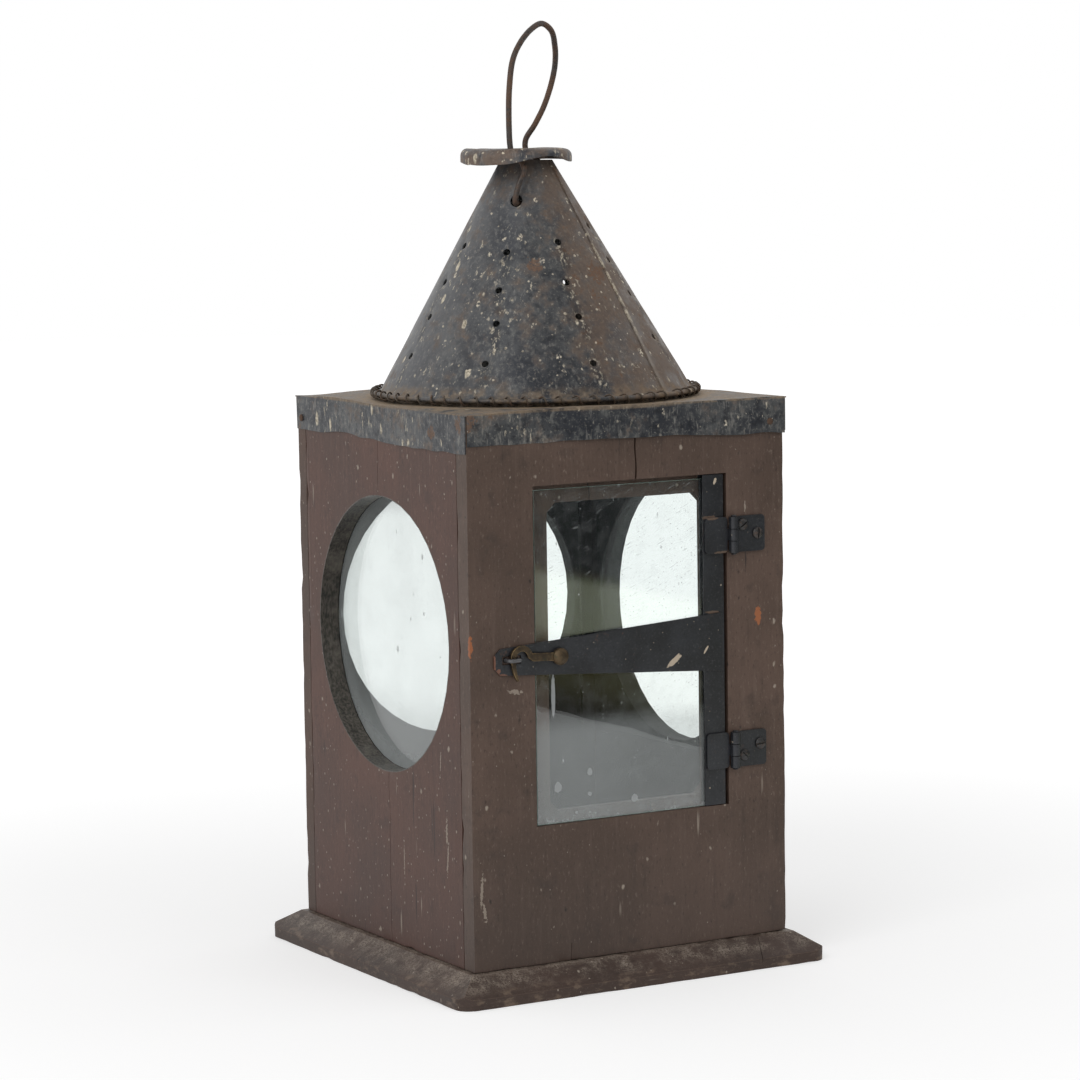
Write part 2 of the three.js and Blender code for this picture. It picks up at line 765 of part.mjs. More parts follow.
// Cap sheet: a square top with a round opening, a collar round it, and four skirts slit apart
function makeCapSheet() {
  const halfX = right + skirtOut;
  const halfY = back + skirtOut;
  const opening = hemRadius - lacingReach - seat - capSheet;
  const top = block([-halfX, -halfY, capUnder], [halfX, halfY, capTop]);
  const collar = turned(
    [
      [opening, -capSheet], [opening + capSheet, -capSheet],
      [opening + capSheet, collarHeight], [opening, collarHeight], [opening, -capSheet],
    ],
    chimneySides, [0, 0, capTop],
  );
  const hole = rod([0, 0, capUnder - 1], [0, 0, capTop + 1], opening, chimneySides);
  const skirts = skirtDepths.map(([leftDepth, rightDepth], i) => {
    const end = (i % 2 ? halfY : halfX) - skirtSlit;
    const out = i % 2 ? halfX : halfY;
    const shape = outline([
      [-end, capUnder - leftDepth], [end, capUnder - rightDepth], [end, capTop], [-end, capTop],
    ]);
    const sheet = standing(shape, -out + capSheet, capSheet);
    sheet.rotateZ(i * PI / 2);
    return sheet;
  });
  const sheet = join([cut(top, [hole]), collar, ...skirts]);
  return cut(sheet, roomFor(capNails, false));
}

// Chimney, in its own frame: the middle of the hem bead at the origin of heights
const bead = new THREE.Vector2(hemRadius, 0);
const flange = new THREE.Vector2(-cos(radians(flangeSlope)), sin(radians(flangeSlope)));
const foot = bead.clone().addScaledVector(flange, flangeWidth);
const coneTop = new THREE.Vector2(chimneyTopRadius, chimneyHeight);
const slope = coneTop.clone().sub(foot).normalize();
const outwards = (direction) => new THREE.Vector2(direction.y, -direction.x);

function coneRadius(height) {
  return foot.x + (coneTop.x - foot.x) * (height - foot.y) / (coneTop.y - foot.y);
}

// From the outside of the top down the wall and the flange, round the bead, and up the inside
function coneProfile(lap) {
  const half = chimneySheet / 2;
  const outer = half + lap;
  const start = flange.angle() - asin(half / beadRadius);
  const sweep = 2 * PI - 2 * asin(half / beadRadius);
  const beadPoints = 7;
  const roll = Array.from({ length: beadPoints + 1 }, (_, i) => {
    const angle = start - sweep * i / beadPoints;
    return bead.clone().add(new THREE.Vector2(beadRadius * cos(angle), beadRadius * sin(angle)));
  });
  const bend = outwards(slope).add(outwards(flange));
  bend.divideScalar(bend.lengthSq() / 2);
  return [
    coneTop.clone().addScaledVector(outwards(slope), outer), foot.clone().addScaledVector(bend, outer),
    ...roll,
    foot.clone().addScaledVector(bend, -half), coneTop.clone().addScaledVector(outwards(slope), -half),
  ];
}

// The sheet laps over itself at the seam: its outer face steps out there and eases back beside it.
// The seam slants a little, and the sheet beside it follows.
function makeConeShell() {
  const step = 360 / chimneySides;
  const turns = Array.from({ length: chimneySides }, (_, i) => step * i);
  turns.push(360 - 0.2);
  const rings = turns.map((turn) => {
    const lap = chimneySheet * max(0, 1 - turn / seamEase);
    const slant = radians(seamSlant) * max(0, 1 - min(turn, 360 - turn) / (2 * step));
    return coneProfile(lap).map(({ x, y }) => {
      const angle = radians(seamAngle + turn) + slant * (y / chimneyHeight - 0.5);
      return new THREE.Vector3(x * cos(angle), x * sin(angle), y);
    });
  });
  return skin(rings, true);
}

// One unbroken wire wound round the bead. Each turn is steep outside the bead, comes up behind it
// and goes through the flange there.
function lacingPath() {
  const count = lacingTurns * lacingSteps;
  return Array.from({ length: count + 1 }, (_, i) => {
    const turn = 2 * PI * i / lacingSteps;
    const share = (i / lacingSteps + lacingSlack * sin(turn) / (2 * PI)) / lacingTurns;
    const angle = radians(seamAngle + (360 - lacingSpan) / 2 + lacingSpan * share);
    const r = hemRadius - lacingRadius * cos(turn);
    return new THREE.Vector3(r * cos(angle), r * sin(angle), lacingRadius * sin(turn));
  });
}

function makeLacing(radius) {
  const path = lacingPath();
  let side = new THREE.Vector3(0, 0, 1);
  const rings = path.map((point, i) => {
    const along = path[min(i + 1, path.length - 1)].clone().sub(path[max(i - 1, 0)]).normalize();
    side = side.clone().addScaledVector(along, -side.dot(along)).normalize();
    return ringAround(point, side, along.clone().cross(side), radius, radius, lacingSides);
  });
  return skin(rings, false);
}

// Least distance between the wire's own turns, measured between points over half a turn apart
function lacingGap() {
  const path = lacingPath();
  let least = Infinity;
  for (let i = 0; i < path.length; i += 1) {
    const end = min(path.length, i + 3 * lacingSteps);
    for (let j = i + lacingSteps / 2 + 1; j < end; j += 1) least = min(least, path[i].distanceTo(path[j]));
  }
  return least - 2 * lacingWireRadius;
}

const bailShift = new THREE.Vector3(bailShiftX, bailShiftY, 0);
const bailAxis = new THREE.Vector3(cos(radians(bailAngle)), sin(radians(bailAngle)), 0);
const bailSide = new THREE.Vector3(-bailAxis.y, bailAxis.x, 0);

function makeChimneyCone() {
  const normal = outwards(slope);
  const places = vents.flatMap(([turn, height]) => [[turn, height], [turn + 180, height]]);
  const ventHoles = places.map(([turn, height]) => {
    const angle = radians(turn);
    const outward = new THREE.Vector3(normal.x * cos(angle), normal.x * sin(angle), normal.y);
    const r = coneRadius(height);
    const centre = new THREE.Vector3(r * cos(angle), r * sin(angle), height);
    const inside = centre.clone().addScaledVector(outward, -3);
    const outside = centre.clone().addScaledVector(outward, 3);
    return rod(inside.toArray(), outside.toArray(), ventRadius, ventSides);
  });
  const reach = coneRadius(bailRise) + 5;
  const bailHole = rod(
    bailAxis.clone().multiplyScalar(-reach).add(bailShift).setZ(bailRise).toArray(),
    bailAxis.clone().multiplyScalar(reach).add(bailShift).setZ(bailRise).toArray(),
    bailHoleRadius, 12,
  );
  const path = lacingPath();
  const laceHoles = Array.from({ length: lacingTurns }, (_, i) => {
    const low = path[i * lacingSteps];
    const high = path[i * lacingSteps + 1];
    const along = high.clone().sub(low).normalize().multiplyScalar(lacingRadius / 2);
    const from = low.clone().sub(along).toArray();
    return rod(from, high.clone().add(along).toArray(), lacingWireRadius + seat, 5);
  });
  return cut(makeConeShell(), [...ventHoles, bailHole, ...laceHoles]);
}

// The chimney leans a little from the hem up.
const lean = new THREE.Matrix4().makeShear(
  0, 0, 0, 0, chimneyLeanX / chimneyHeight, chimneyLeanY / chimneyHeight,
);
const leanAt = (height) => new THREE.Vector3(
  chimneyLeanX * height / chimneyHeight, chimneyLeanY * height / chimneyHeight, 0,
);

// Bail, in a frame along the line through its two holes, across it, and upwards.
// Each leg rests in its hole, stands off the cone, kinks sideways under the smoke cap and goes up
// through it. The loop above leans over and narrows at the top.
const capUnderside = chimneyHeight + smokeCapGap;
const capCrown = capUnderside + smokeCapSheet;

function bailPoints() {
  const holeOut = coneRadius(bailRise);
  const elbow = holeOut + bailStandOff;
  const leg = bailLegSpan / 2;
  const rest = bailRise - (bailHoleRadius - bailWireRadius - seat);
  const loop = (share) => capCrown + bailLoopHeight * share;
  const lower = (end) => [
    [end * (holeOut - bailEnd), 0, rest], [end * (holeOut - 2), 0, rest],
    [end * (elbow - 1.5), 0, rest + 0.2], [end * elbow, 0.2, rest + 2.6],
    [end * (elbow - 1), 1.6, rest + 9],
    [end * (leg + 4), 4, capUnderside - 9.8],
    [end * (leg + 1.6), 1.6, capUnderside - 5],
    [end * (leg + 0.2), bailLegShift + 0.9, capUnderside - 1.2],
  ];
  const frontLoop = [
    [leg, bailLegShift, loop(0.03)], [leg + 2, bailLegShift, loop(0.27)], [leg + 3.5, -3.3, loop(0.486)],
    [leg + 0.5, -1.8, loop(0.71)], [leg * 0.72, 1.6, loop(0.857)], [leg * 0.33, 6.4, loop(0.965)],
  ];
  const backLoop = [
    [-leg * 0.33, 13.8, loop(0.944)], [-leg * 0.72, 14.2, loop(0.817)], [-leg, 13.1, loop(0.684)],
    [-leg - 3, 10.5, loop(0.532)], [-leg - 2.5, 6.6, loop(0.354)], [-leg - 1, 1.5, loop(0.194)],
    [-leg, bailLegShift + 0.5, loop(0.066)],
  ];
  return [...lower(1), ...frontLoop, [0, 10.2, loop(1)], ...backLoop, ...lower(-1).reverse()];
}

function makeBail() {
  const points = bailPoints().map(([along, across, height]) => (
    bailAxis.clone().multiplyScalar(along).addScaledVector(bailSide, across).setZ(height)
  ));
  const curve = new THREE.CatmullRomCurve3(points, false, 'centripetal');
  return wire(curve, bailWireRadius, 64, 8);
}

// Smoke cap: a shallow pan with a beaten, uneven rim, one stretch of it bent up
function makeSmokeCap() {
  const radius = smokeCapRadius;
  const sheet = smokeCapSheet;
  const shoulder = smokeCapShoulder;
  const arc = (centreX, centreY, r, steps) => Array.from({ length: steps + 1 }, (_, i) => {
    const angle = PI / 2 * i / steps;
    return [centreX + r * sin(angle), centreY + r * cos(angle)];
  });
  const outerArc = arc(radius - shoulder, -shoulder, shoulder, 2);
  const innerArc = arc(radius - shoulder, -shoulder, shoulder - sheet, 2).reverse();
  const profile = [
    [0, 0], [radius * 0.55, 0], ...outerArc, [radius, -smokeCapRim], [radius - sheet, -smokeCapRim],
    ...innerArc, [radius * 0.55, -sheet], [0, -sheet],
  ];
  const pan = turned(profile.reverse(), smokeCapSides);
  const place = pan.attributes.position;
  for (let i = 0; i < place.count; i += 1) {
    const x = place.getX(i);
    const y = place.getY(i);
    const z = place.getZ(i);
    const angle = atan2(y, x);
    const outwards = max(0, hypot(x, y) / radius - 0.62) / 0.38;
    const down = -z / smokeCapRim;
    const bentUp = exp(-(((angle - radians(-85)) / 0.42) ** 2));
    const wave = 0.35 * sin(3 * angle + 0.6) + 0.25 * sin(5 * angle);
    place.setZ(i, z + outwards * wave + down * (3 * bentUp - 0.9 * cos(angle - radians(-140))));
  }
  const centre = bailSide.clone().multiplyScalar(bailLegShift + smokeCapShift);
  pan.translate(centre.x, centre.y, capCrown);
  const hole = (end, slot) => {
    const at = (across, height) => bailAxis.clone().multiplyScalar(end * bailLegSpan / 2)
      .addScaledVector(bailSide, bailLegShift + across).setZ(height).toArray();
    const tools = [rod(at(0, capUnderside - 3), at(0, capCrown + 3), smokeCapHoleRadius, 12)];
    if (slot) tools.push(rod(at(slot, capUnderside - 3), at(slot, capCrown + 3), smokeCapHoleRadius, 12));
    return tools;
  };
  return cut(pan, [...hole(1, 0), ...hole(-1, smokeCapSlot)]);
}

// Candle cup and its drip pan
function makeDripPan() {
  const profile = [
    [0, 0], [panRadius - 3, 0], [panRadius, panRimHeight], [panRadius + 1.4, panRimHeight],
    [panRadius + 1.4, panRimHeight + panSheet], [panRadius - panSheet * 0.6, panRimHeight + panSheet],
    [panRadius - 3 - panSheet * 0.6, panSheet], [0, panSheet],
  ];
  return cut(turned(profile, 28, [0, 0, baseThickness + seat]), roomFor(panNails, false));
}

function makeCandleCup() {
  const inner = cupRadius - cupSheet;
  const profile = [
    [0, 0], [cupRadius, 0], [cupRadius, cupHeight - 1], [cupRadius + 2, cupHeight - 1],
    [cupRadius + 2, cupHeight], [inner, cupHeight], [inner, cupSheet], [0, cupSheet],
  ];
  return turned(profile, 22, [0, 0, panFloor + seat]);
}

addPiece('base_board', makeBaseBoard(), paintedPine);
addPiece('front_board', makeFrontBoard(), paintedPine);
addPiece('left_board', makeSideBoard(-1), paintedPine);
addPiece('right_board', makeSideBoard(1), paintedPine);
addPiece('back_board', makeBackBoard(), paintedPine);
addPiece('left_pane', makePane(-1), oldGlass);
addPiece('right_pane', makePane(1), oldGlass);
addPiece('back_pane', makePane(0), oldGlass);
addPieces('glazing_brad', [-1, 0, 1].flatMap(makeBrads), greyIron);
addPieces('case_nail', nailsOf(caseNails), rustyIron);
addPieces('base_nail', nailsOf(baseNails), rustyIron);
addPieces('cap_nail', nailsOf(capNails), rustyIron);
addPiece('drip_pan', makeDripPan(), dullTin);
addPiece('candle_cup', makeCandleCup(), dullTin);
addPieces('pan_nail', nailsOf(panNails), rustyIron);

addPiece('door_glass', makeDoorGlass(), oldGlass);
addPiece('door_stile', makeDoorStile(), blackTin);
addPiece('door_hasp', makeDoorHasp(), blackTin);
for (const [name, rise, screws] of [
  ['upper', upperHingeRise, upperScrews], ['lower', lowerHingeRise, lowerScrews],
]) {
  const middle = openingBottom + rise;
  addPiece(`${name}_hinge_case_leaf`, makeHingeLeaf(middle, 1, hingeCaseReach, screws), blackTin);
  addPiece(`${name}_hinge_door_leaf`, makeHingeLeaf(middle, -1, hingeDoorReach, []), blackTin);
  addPiece(`${name}_hinge_pin`, makeHingePin(middle), greyIron);
}
addPieces('hinge_screw', makeHingeScrews(), greyIron);
addPiece('latch_staple', makeStaple(), greyIron);
addPiece('latch_hook', makeLatchHook(), tarnishedBrass);
addPiece('hook_rivet', makeHookRivet(), tarnishedBrass);

addPiece('cap_sheet', makeCapSheet(), blackTin);

// The chimney stands in the middle of the cap, and what is above it follows its lean.
const chimney = new THREE.Group();
chimney.position.set(0, 0, hemHeight);
group.add(chimney);
addPiece('chimney_cone', makeChimneyCone().applyMatrix4(lean), blackTin, chimney);
addPiece('lacing_wire', makeLacing(lacingWireRadius), rustyIron, chimney);
const head = new THREE.Group();
head.position.copy(leanAt(bailRise).add(bailShift));
chimney.add(head);
addPiece('bail_wire', makeBail(), rustyIron, head);
addPiece('smoke_cap', makeSmokeCap(), blackTin, head);

console.log(`lacing_wire: ${lacingTurns} turns, least gap to itself ${lacingGap().toFixed(2)} mm`);

export default group;
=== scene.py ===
# Stable lantern: a painted pine box with a glazed door and three round windows, a tin cap laced
# to a pierced tin chimney, a smoke cap and a heavy wire bail. Metres, +Z up, the door faces -Y.

import functools
import math

import bmesh
import bpy
from mathutils import Matrix, Vector, noise


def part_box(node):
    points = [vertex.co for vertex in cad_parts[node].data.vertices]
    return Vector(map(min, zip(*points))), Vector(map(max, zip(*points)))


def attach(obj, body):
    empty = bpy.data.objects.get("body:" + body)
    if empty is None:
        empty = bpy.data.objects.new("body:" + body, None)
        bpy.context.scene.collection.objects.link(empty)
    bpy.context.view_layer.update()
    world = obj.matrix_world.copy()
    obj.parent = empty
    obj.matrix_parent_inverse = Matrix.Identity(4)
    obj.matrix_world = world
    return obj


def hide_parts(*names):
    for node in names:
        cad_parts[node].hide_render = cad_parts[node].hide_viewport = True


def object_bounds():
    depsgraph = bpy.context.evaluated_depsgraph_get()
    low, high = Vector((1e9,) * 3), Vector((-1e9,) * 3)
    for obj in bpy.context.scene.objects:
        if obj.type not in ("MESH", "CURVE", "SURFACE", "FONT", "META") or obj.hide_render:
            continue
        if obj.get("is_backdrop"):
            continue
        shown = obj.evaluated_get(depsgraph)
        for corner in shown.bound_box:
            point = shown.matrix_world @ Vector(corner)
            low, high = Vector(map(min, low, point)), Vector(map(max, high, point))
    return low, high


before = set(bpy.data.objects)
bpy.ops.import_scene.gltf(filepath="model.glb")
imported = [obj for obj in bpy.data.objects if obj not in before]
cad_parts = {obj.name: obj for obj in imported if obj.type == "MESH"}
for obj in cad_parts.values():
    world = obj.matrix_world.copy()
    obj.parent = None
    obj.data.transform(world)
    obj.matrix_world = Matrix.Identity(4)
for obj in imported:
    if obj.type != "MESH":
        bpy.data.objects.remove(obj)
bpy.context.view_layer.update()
mm = 0.001
# Noise vectors take their offsets from this seed, so every run makes the same bumps.
noise.seed_set(5)

# Camera: two metres off, a little above the lantern's top, turned past its left front corner.
# A long lens, and the slight roll of a hand-levelled head.
def put(name, data):
    """A new object of the scene that holds a mesh, a lamp or the camera."""
    holder = bpy.data.objects.new(name, data)
    scene.collection.objects.link(holder)
    return holder


scene = bpy.context.scene
scene.view_settings.view_transform = "Standard"
eye = Vector((-1004.9, -1753.6, 447.6)) * mm
turn, dip, roll = (math.radians(angle) for angle in (-29.815, 6.35, -0.827))
ahead = Vector((-math.sin(turn) * math.cos(dip), math.cos(turn) * math.cos(dip), -math.sin(dip)))
level = Vector((math.cos(turn), math.sin(turn), 0))
across = level * math.cos(roll) + level.cross(ahead) * math.sin(roll)
camera = put("camera", bpy.data.cameras.new("camera"))
axes = Matrix([across, across.cross(ahead), -ahead]).transposed()
camera.matrix_world = Matrix.Translation(eye) @ axes.to_4x4()
camera.data.lens = 126.04
camera.data.sensor_width = 36
camera.data.shift_x = 0.0021
camera.data.clip_start = 0.05
scene.camera = camera


# Studio: a pale floor, soft light from everywhere, two large soft lamps, and three sheets that
# only reflections see. Sums on what a node gives are written as sums: a Value adds the Math nodes.
class Value:
    def __init__(self, tree, socket):
        self.tree = tree
        self.socket = socket

    def sums(self, operation, *values):
        return self.tree.add("ShaderNodeMath", {"operation": operation}, values)

    def __add__(self, other):
        return self.sums("ADD", self, other)

    def __sub__(self, other):
        return self.sums("SUBTRACT", self, other)

    def __rsub__(self, other):
        return self.sums("SUBTRACT", other, self)

    def __mul__(self, other):
        return self.sums("MULTIPLY", self, other)

    def __truediv__(self, other):
        return self.sums("DIVIDE", self, other)

    def __pow__(self, other):
        return self.sums("POWER", self, other)

    def __neg__(self):
        return self.sums("MULTIPLY", self, -1)

    def __abs__(self):
        return self.sums("ABSOLUTE", self)

    __radd__ = __add__
    __rmul__ = __mul__

    def most(self, other):
        return self.sums("MAXIMUM", self, other)

    def least(self, other):
        return self.sums("MINIMUM", self, other)

    def over(self, edge):
        """1 above an edge and 0 below it."""
        return (self - edge).rise(-0.1 * mm, 0.1 * mm)

    def under(self, edge):
        """1 below an edge and 0 above it."""
        return (self - edge).rise(0.1 * mm, -0.1 * mm)

    def rise(self, low, high):
        """0 below low, 1 above high, and smooth between; low above high turns it over."""
        kind = {"interpolation_type": "SMOOTHSTEP"}
        return self.tree.add("ShaderNodeMapRange", kind, [self, low, high])

    def parts(self):
        """The x, y and z of a vector."""
        split = self.tree.add("ShaderNodeSeparateXYZ", {}, [self])
        outputs = split.socket.node.outputs
        return [Value(self.tree, output) for output in outputs]


class Tree:
    def __init__(self, tree):
        self.tree = tree

    def add(self, kind, settings=None, sockets=(), out=0):
        """One node: its settings, then its sockets by place or name, and which output to give."""
        node = self.tree.nodes.new(kind)
        for name, setting in (settings or {}).items():
            setattr(node, name, setting)
        pairs = sockets.items() if isinstance(sockets, dict) else enumerate(sockets)
        for key, given in pairs:
            if isinstance(given, Value):
                self.tree.links.new(given.socket, node.inputs[key])
            elif given is not None:
                node.inputs[key].default_value = given
        return Value(self, node.outputs[out]) if node.outputs else None

    def vector(self, x=0.0, y=0.0, z=0.0):
        return self.add("ShaderNodeCombineXYZ", {}, [x, y, z])

    def move(self, operation, *vectors, scale=None):
        """Vector Math on two vectors, or one vector and a scale."""
        sockets = dict(enumerate(vectors))
        if scale is not None:
            sockets["Scale"] = scale
        return self.add("ShaderNodeVectorMath", {"operation": operation}, sockets)

    def length(self, vector):
        return self.add("ShaderNodeVectorMath", {"operation": "LENGTH"}, [vector], out="Value")


class Finish(Tree):
    """A material's nodes."""

    def __init__(self, name):
        self.material = bpy.data.materials.new(name)
        self.material.use_nodes = True
        super().__init__(self.material.node_tree)
        self.tree.nodes.clear()
        self.place = self.add("ShaderNodeTexCoord", out="Object")

    def grain(self, size, detail=3.0, rough=0.55, stretch=(1, 1, 1), seed=0.0, at=None):
        """Noise from 0 to 1 whose blots are about `size` millimetres, stretched along an axis."""
        scaled = self.move("MULTIPLY", at or self.place, [1 / s for s in stretch])
        moved = self.move("ADD", scaled, (seed, seed * 0.37, -seed * 0.71))
        sockets = {"Vector": moved, "Scale": 1000 / size, "Detail": detail, "Roughness": rough}
        return self.add("ShaderNodeTexNoise", {}, sockets)

    def specks(self, pitch, low, high, seed=0.0, stretch=(1, 1, 1), chance=1.0):
        """Round specks, one to a cell of `pitch` millimetres, of a random size, from 0 to 1."""
        scaled = self.move("MULTIPLY", self.place, [1 / s for s in stretch])
        wobble = {"Vector": scaled, "Scale": 3.5 * 1000 / pitch}
        wobble = self.add("ShaderNodeTexNoise", {}, wobble, out="Color")
        ragged = self.move("SCALE", wobble, scale=0.25 * pitch * mm)
        moved = self.move("ADD", self.move("ADD", scaled, ragged), (seed, -seed * 0.41, seed * 0.23))
        cell = {"Vector": moved, "Scale": 1000 / pitch}
        distance = self.add("ShaderNodeTexVoronoi", {}, cell)
        colour = self.add("ShaderNodeTexVoronoi", {}, cell, out="Color")
        pick, size, _ = colour.parts()
        reach = size ** 2 * (high - low) + low
        return (distance - reach).rise(0.06, -0.04) * (chance - pick).rise(0, 0.001)

    def mark(self, centre, size, tilt=(0, 0, 0), *, rag, blot):
        """1 inside an oval of half sizes `size` millimetres with a ragged rim, 0 outside."""
        local = self.add("ShaderNodeMapping", {"vector_type": "TEXTURE"}, [
            self.place, [c * mm for c in centre], [math.radians(t) for t in tilt],
            [s * mm for s in size],
        ])
        ragged = self.length(local) + (self.grain(blot, 2, seed=centre[2]) - 0.5) * rag * 2
        return ragged.rise(1.08, 0.86)

    def marks(self, ovals, rag, blot):
        """Such ovals as one: each has a centre, half sizes and, where it leans, a tilt."""
        return functools.reduce(Value.most, [self.mark(*oval, rag=rag, blot=blot) for oval in ovals])

    def stored(self, name):
        """A number that the piece's mesh carries at each point."""
        return self.add("ShaderNodeAttribute", {"attribute_name": name}, out="Fac")

    def mix(self, share, under, over):
        sockets = {0: share, 6: under, 7: over}
        return self.add("ShaderNodeMix", {"data_type": "RGBA"}, sockets, out=2)

    def close(self, surface, plain=(0.5, 0.5, 0.5)):
        """Ends the material; `plain` is its colour in a plain view."""
        self.add("ShaderNodeOutputMaterial", {}, [surface])
        self.material.diffuse_color = (*plain[:3], 1)
        return self.material

    def surface(self, colour, roughness, height=None, depth=0.0, **sockets):
        """Principled shader; `height` is relief from 0 to 1, `depth` its millimetres."""
        given = {"Base Color": colour, "Roughness": roughness}
        if height is not None:
            given["Normal"] = self.add(
                "ShaderNodeBump", {}, {"Strength": 1.0, "Distance": depth * mm, "Height": height}
            )
        given.update(sockets)
        return self.add("ShaderNodeBsdfPrincipled", {}, given)


def shade(red, green, blue):
    """A colour as a screen shows it, 0 to 255, in the linear light that shaders take."""
    parts = [part / 255 for part in (red, green, blue)]
    linear = [p / 12.92 if p < 0.04045 else ((p + 0.055) / 1.055) ** 2.4 for p in parts]
    return (*linear, 1.0)


def direct_ray(tree):
    """1 where the floor or backdrop is seen by the camera, in a reflection or through glass."""
    kinds = ("Is Camera Ray", "Is Glossy Ray", "Is Transmission Ray")
    return functools.reduce(Value.most, [tree.add("ShaderNodeLightPath", out=kind) for kind in kinds])


world = scene.world or bpy.data.worlds.new("world")
scene.world = world
world.use_nodes = True
sky = Tree(world.node_tree)
sky.tree.nodes.clear()
fill = 0.62
sky.add("ShaderNodeOutputWorld", {}, [
    sky.add("ShaderNodeBackground", {}, [(1, 1, 1, 1), direct_ray(sky) * (1 - fill) + fill])
])

floor_finish = Finish("floor")
far_off = floor_finish.length(floor_finish.place).rise(0.25, 1.1)
glow = floor_finish.mix(far_off, (0.45, 0.45, 0.45, 1), (0.66, 0.66, 0.66, 1))
seen = floor_finish.add("ShaderNodeEmission", {}, [glow, direct_ray(floor_finish)])
pale = floor_finish.add("ShaderNodeBsdfDiffuse", {}, [shade(214, 214, 214)])
floor_finish.close(floor_finish.add("ShaderNodeAddShader", {}, [pale, seen]))
bpy.ops.mesh.primitive_circle_add(vertices=96, radius=6, fill_type="NGON", location=(0, 0, -0.0002))
floor = bpy.context.object
floor.name = "floor"
floor.data.materials.append(floor_finish.material)
floor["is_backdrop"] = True

# The right side of the room and the dark under its ceiling, which only the reflections see
room_finish = Finish("room_end")
*_, rise_up = room_finish.place.parts()
band = rise_up.rise(0.052, 0.068) * rise_up.rise(0.112, 0.098)
tone = room_finish.mix(rise_up.rise(0.0, 0.035), (0.06, 0.045, 0.03, 1), (0.26, 0.24, 0.1, 1))
tone = room_finish.mix(band, tone, (1.0, 1.08, 0.78, 1))
tone = room_finish.mix(rise_up.rise(0.1, 0.115), tone, (0.05, 0.055, 0.06, 1))
shade_finish = Finish("ceiling_shade")
for finish, lit in ((room_finish, tone), (shade_finish, (0.03, 0.032, 0.036, 1))):
    # Clear to rays that were never reflected, such as those straight through the windows
    finish.close(finish.add("ShaderNodeMixShader", {}, [
        finish.add("ShaderNodeLightPath", out="Glossy Depth").least(1),
        finish.add("ShaderNodeBsdfTransparent"), finish.add("ShaderNodeEmission", {}, [lit, 1.0]),
    ]))


def upright(near, far, top, right=0.42):
    """The corners of a sheet that stands along the right side."""
    return [(right, near, 0), (right, far, 0), (right, far, top), (right, near, top)]


for name, finish, corners in [
    ("room_end", room_finish, upright(-3.2, -0.5, 1.7)),
    ("room_side", room_finish, upright(-0.5, 0.3, 0.32)),
    ("ceiling_shade", shade_finish, [
        (-0.75, -1.0, 1.15), (0.25, -1.25, 1.15), (0.15, -0.75, 2.6), (-0.55, -0.5, 2.6),
    ]),
]:
    sheet_mesh = bpy.data.meshes.new(name)
    sheet_mesh.from_pydata(corners, [], [(0, 1, 2, 3)])
    sheet_mesh.materials.append(finish.material)
    dark = put(name, sheet_mesh)
    for kind in ("camera", "diffuse", "volume_scatter", "shadow"):
        setattr(dark, f"visible_{kind}", False)
    dark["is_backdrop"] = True

for name, place, size, power in [
    ("left_lamp", (-1.9, -1.2, 1.9), 1.4, 16), ("front_lamp", (0.9, -2.4, 2.2), 1.6, 9),
]:
    lamp = bpy.data.lights.new(name, "AREA")
    lamp.size = size
    lamp.energy = power
    holder = put(name, lamp)
    holder.location = place
    aim = Vector((0, 0, 0.25)) - holder.location
    holder.rotation_euler = aim.to_track_quat("-Z", "Y").to_euler()


# Boards: old pine, planed and nailed, painted brown long ago, with the arrises worn round and
# nicked and nothing quite flat. The base is one square board with a bevelled edge.
def whole_node(node):
    """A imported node's mesh, with its loose triangles joined into whole faces."""
    mesh = bmesh.new()
    mesh.from_mesh(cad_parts[node].data)
    bmesh.ops.remove_doubles(mesh, verts=mesh.verts, dist=0.005 * mm)
    bmesh.ops.dissolve_limit(
        mesh, angle_limit=math.radians(1), verts=mesh.verts, edges=mesh.edges
    )
    return mesh


def ease(mesh, width, segments=2, least=30, where=None):
    """Rounds the edges sharper than `least` degrees, and notes them for the worn finishes."""
    worn = mesh.verts.layers.float.get("arris") or mesh.verts.layers.float.new("arris")
    sharp = [
        edge for edge in mesh.edges
        if edge.calc_face_angle(0) > math.radians(least) and (where is None or where(edge))
    ]
    made = bmesh.ops.bevel(
        mesh, geom=sharp, offset=width * mm, offset_type="OFFSET", segments=segments,
        profile=0.5, affect="EDGES", clamp_overlap=True,
    )
    rounded = set(made["faces"])
    for vert in made["verts"]:
        if all(face in rounded for face in vert.link_faces):
            vert[worn] = 1.0


def slice_up(mesh, pitch, low, high):
    """Cuts the faces every `pitch` millimetres along each axis that is longer than that."""
    for axis in range(3):
        count = int((high[axis] - low[axis]) / (pitch * mm))
        normal = [float(i == axis) for i in range(3)]
        for i in range(1, count):
            place = [0, 0, 0]
            place[axis] = low[axis] + (high[axis] - low[axis]) * i / count
            bmesh.ops.bisect_plane(
                mesh, geom=mesh.verts[:] + mesh.edges[:] + mesh.faces[:], plane_co=place,
                plane_no=normal, dist=0.002 * mm,
            )


def uneven(place):
    """How far hand work and age have moved a point of the lantern."""
    return noise.noise_vector(place * 17) * 0.22 * mm


def wear_arris(place, low, high, depth, width):
    """Pulls a point that lies on an outer arris inwards, more in some places."""
    on_low = [p - l < width * mm for p, l in zip(place, low)]
    on_high = [h - p < width * mm for p, h in zip(place, high)]
    if sum(on_low) + sum(on_high) < 2:
        return Vector()
    nick = max(0, noise.noise(place * 90)) ** 2 * 3 + max(0, noise.noise(place * 330))
    return Vector([(a - b) * depth * nick * mm for a, b in zip(on_low, on_high)])


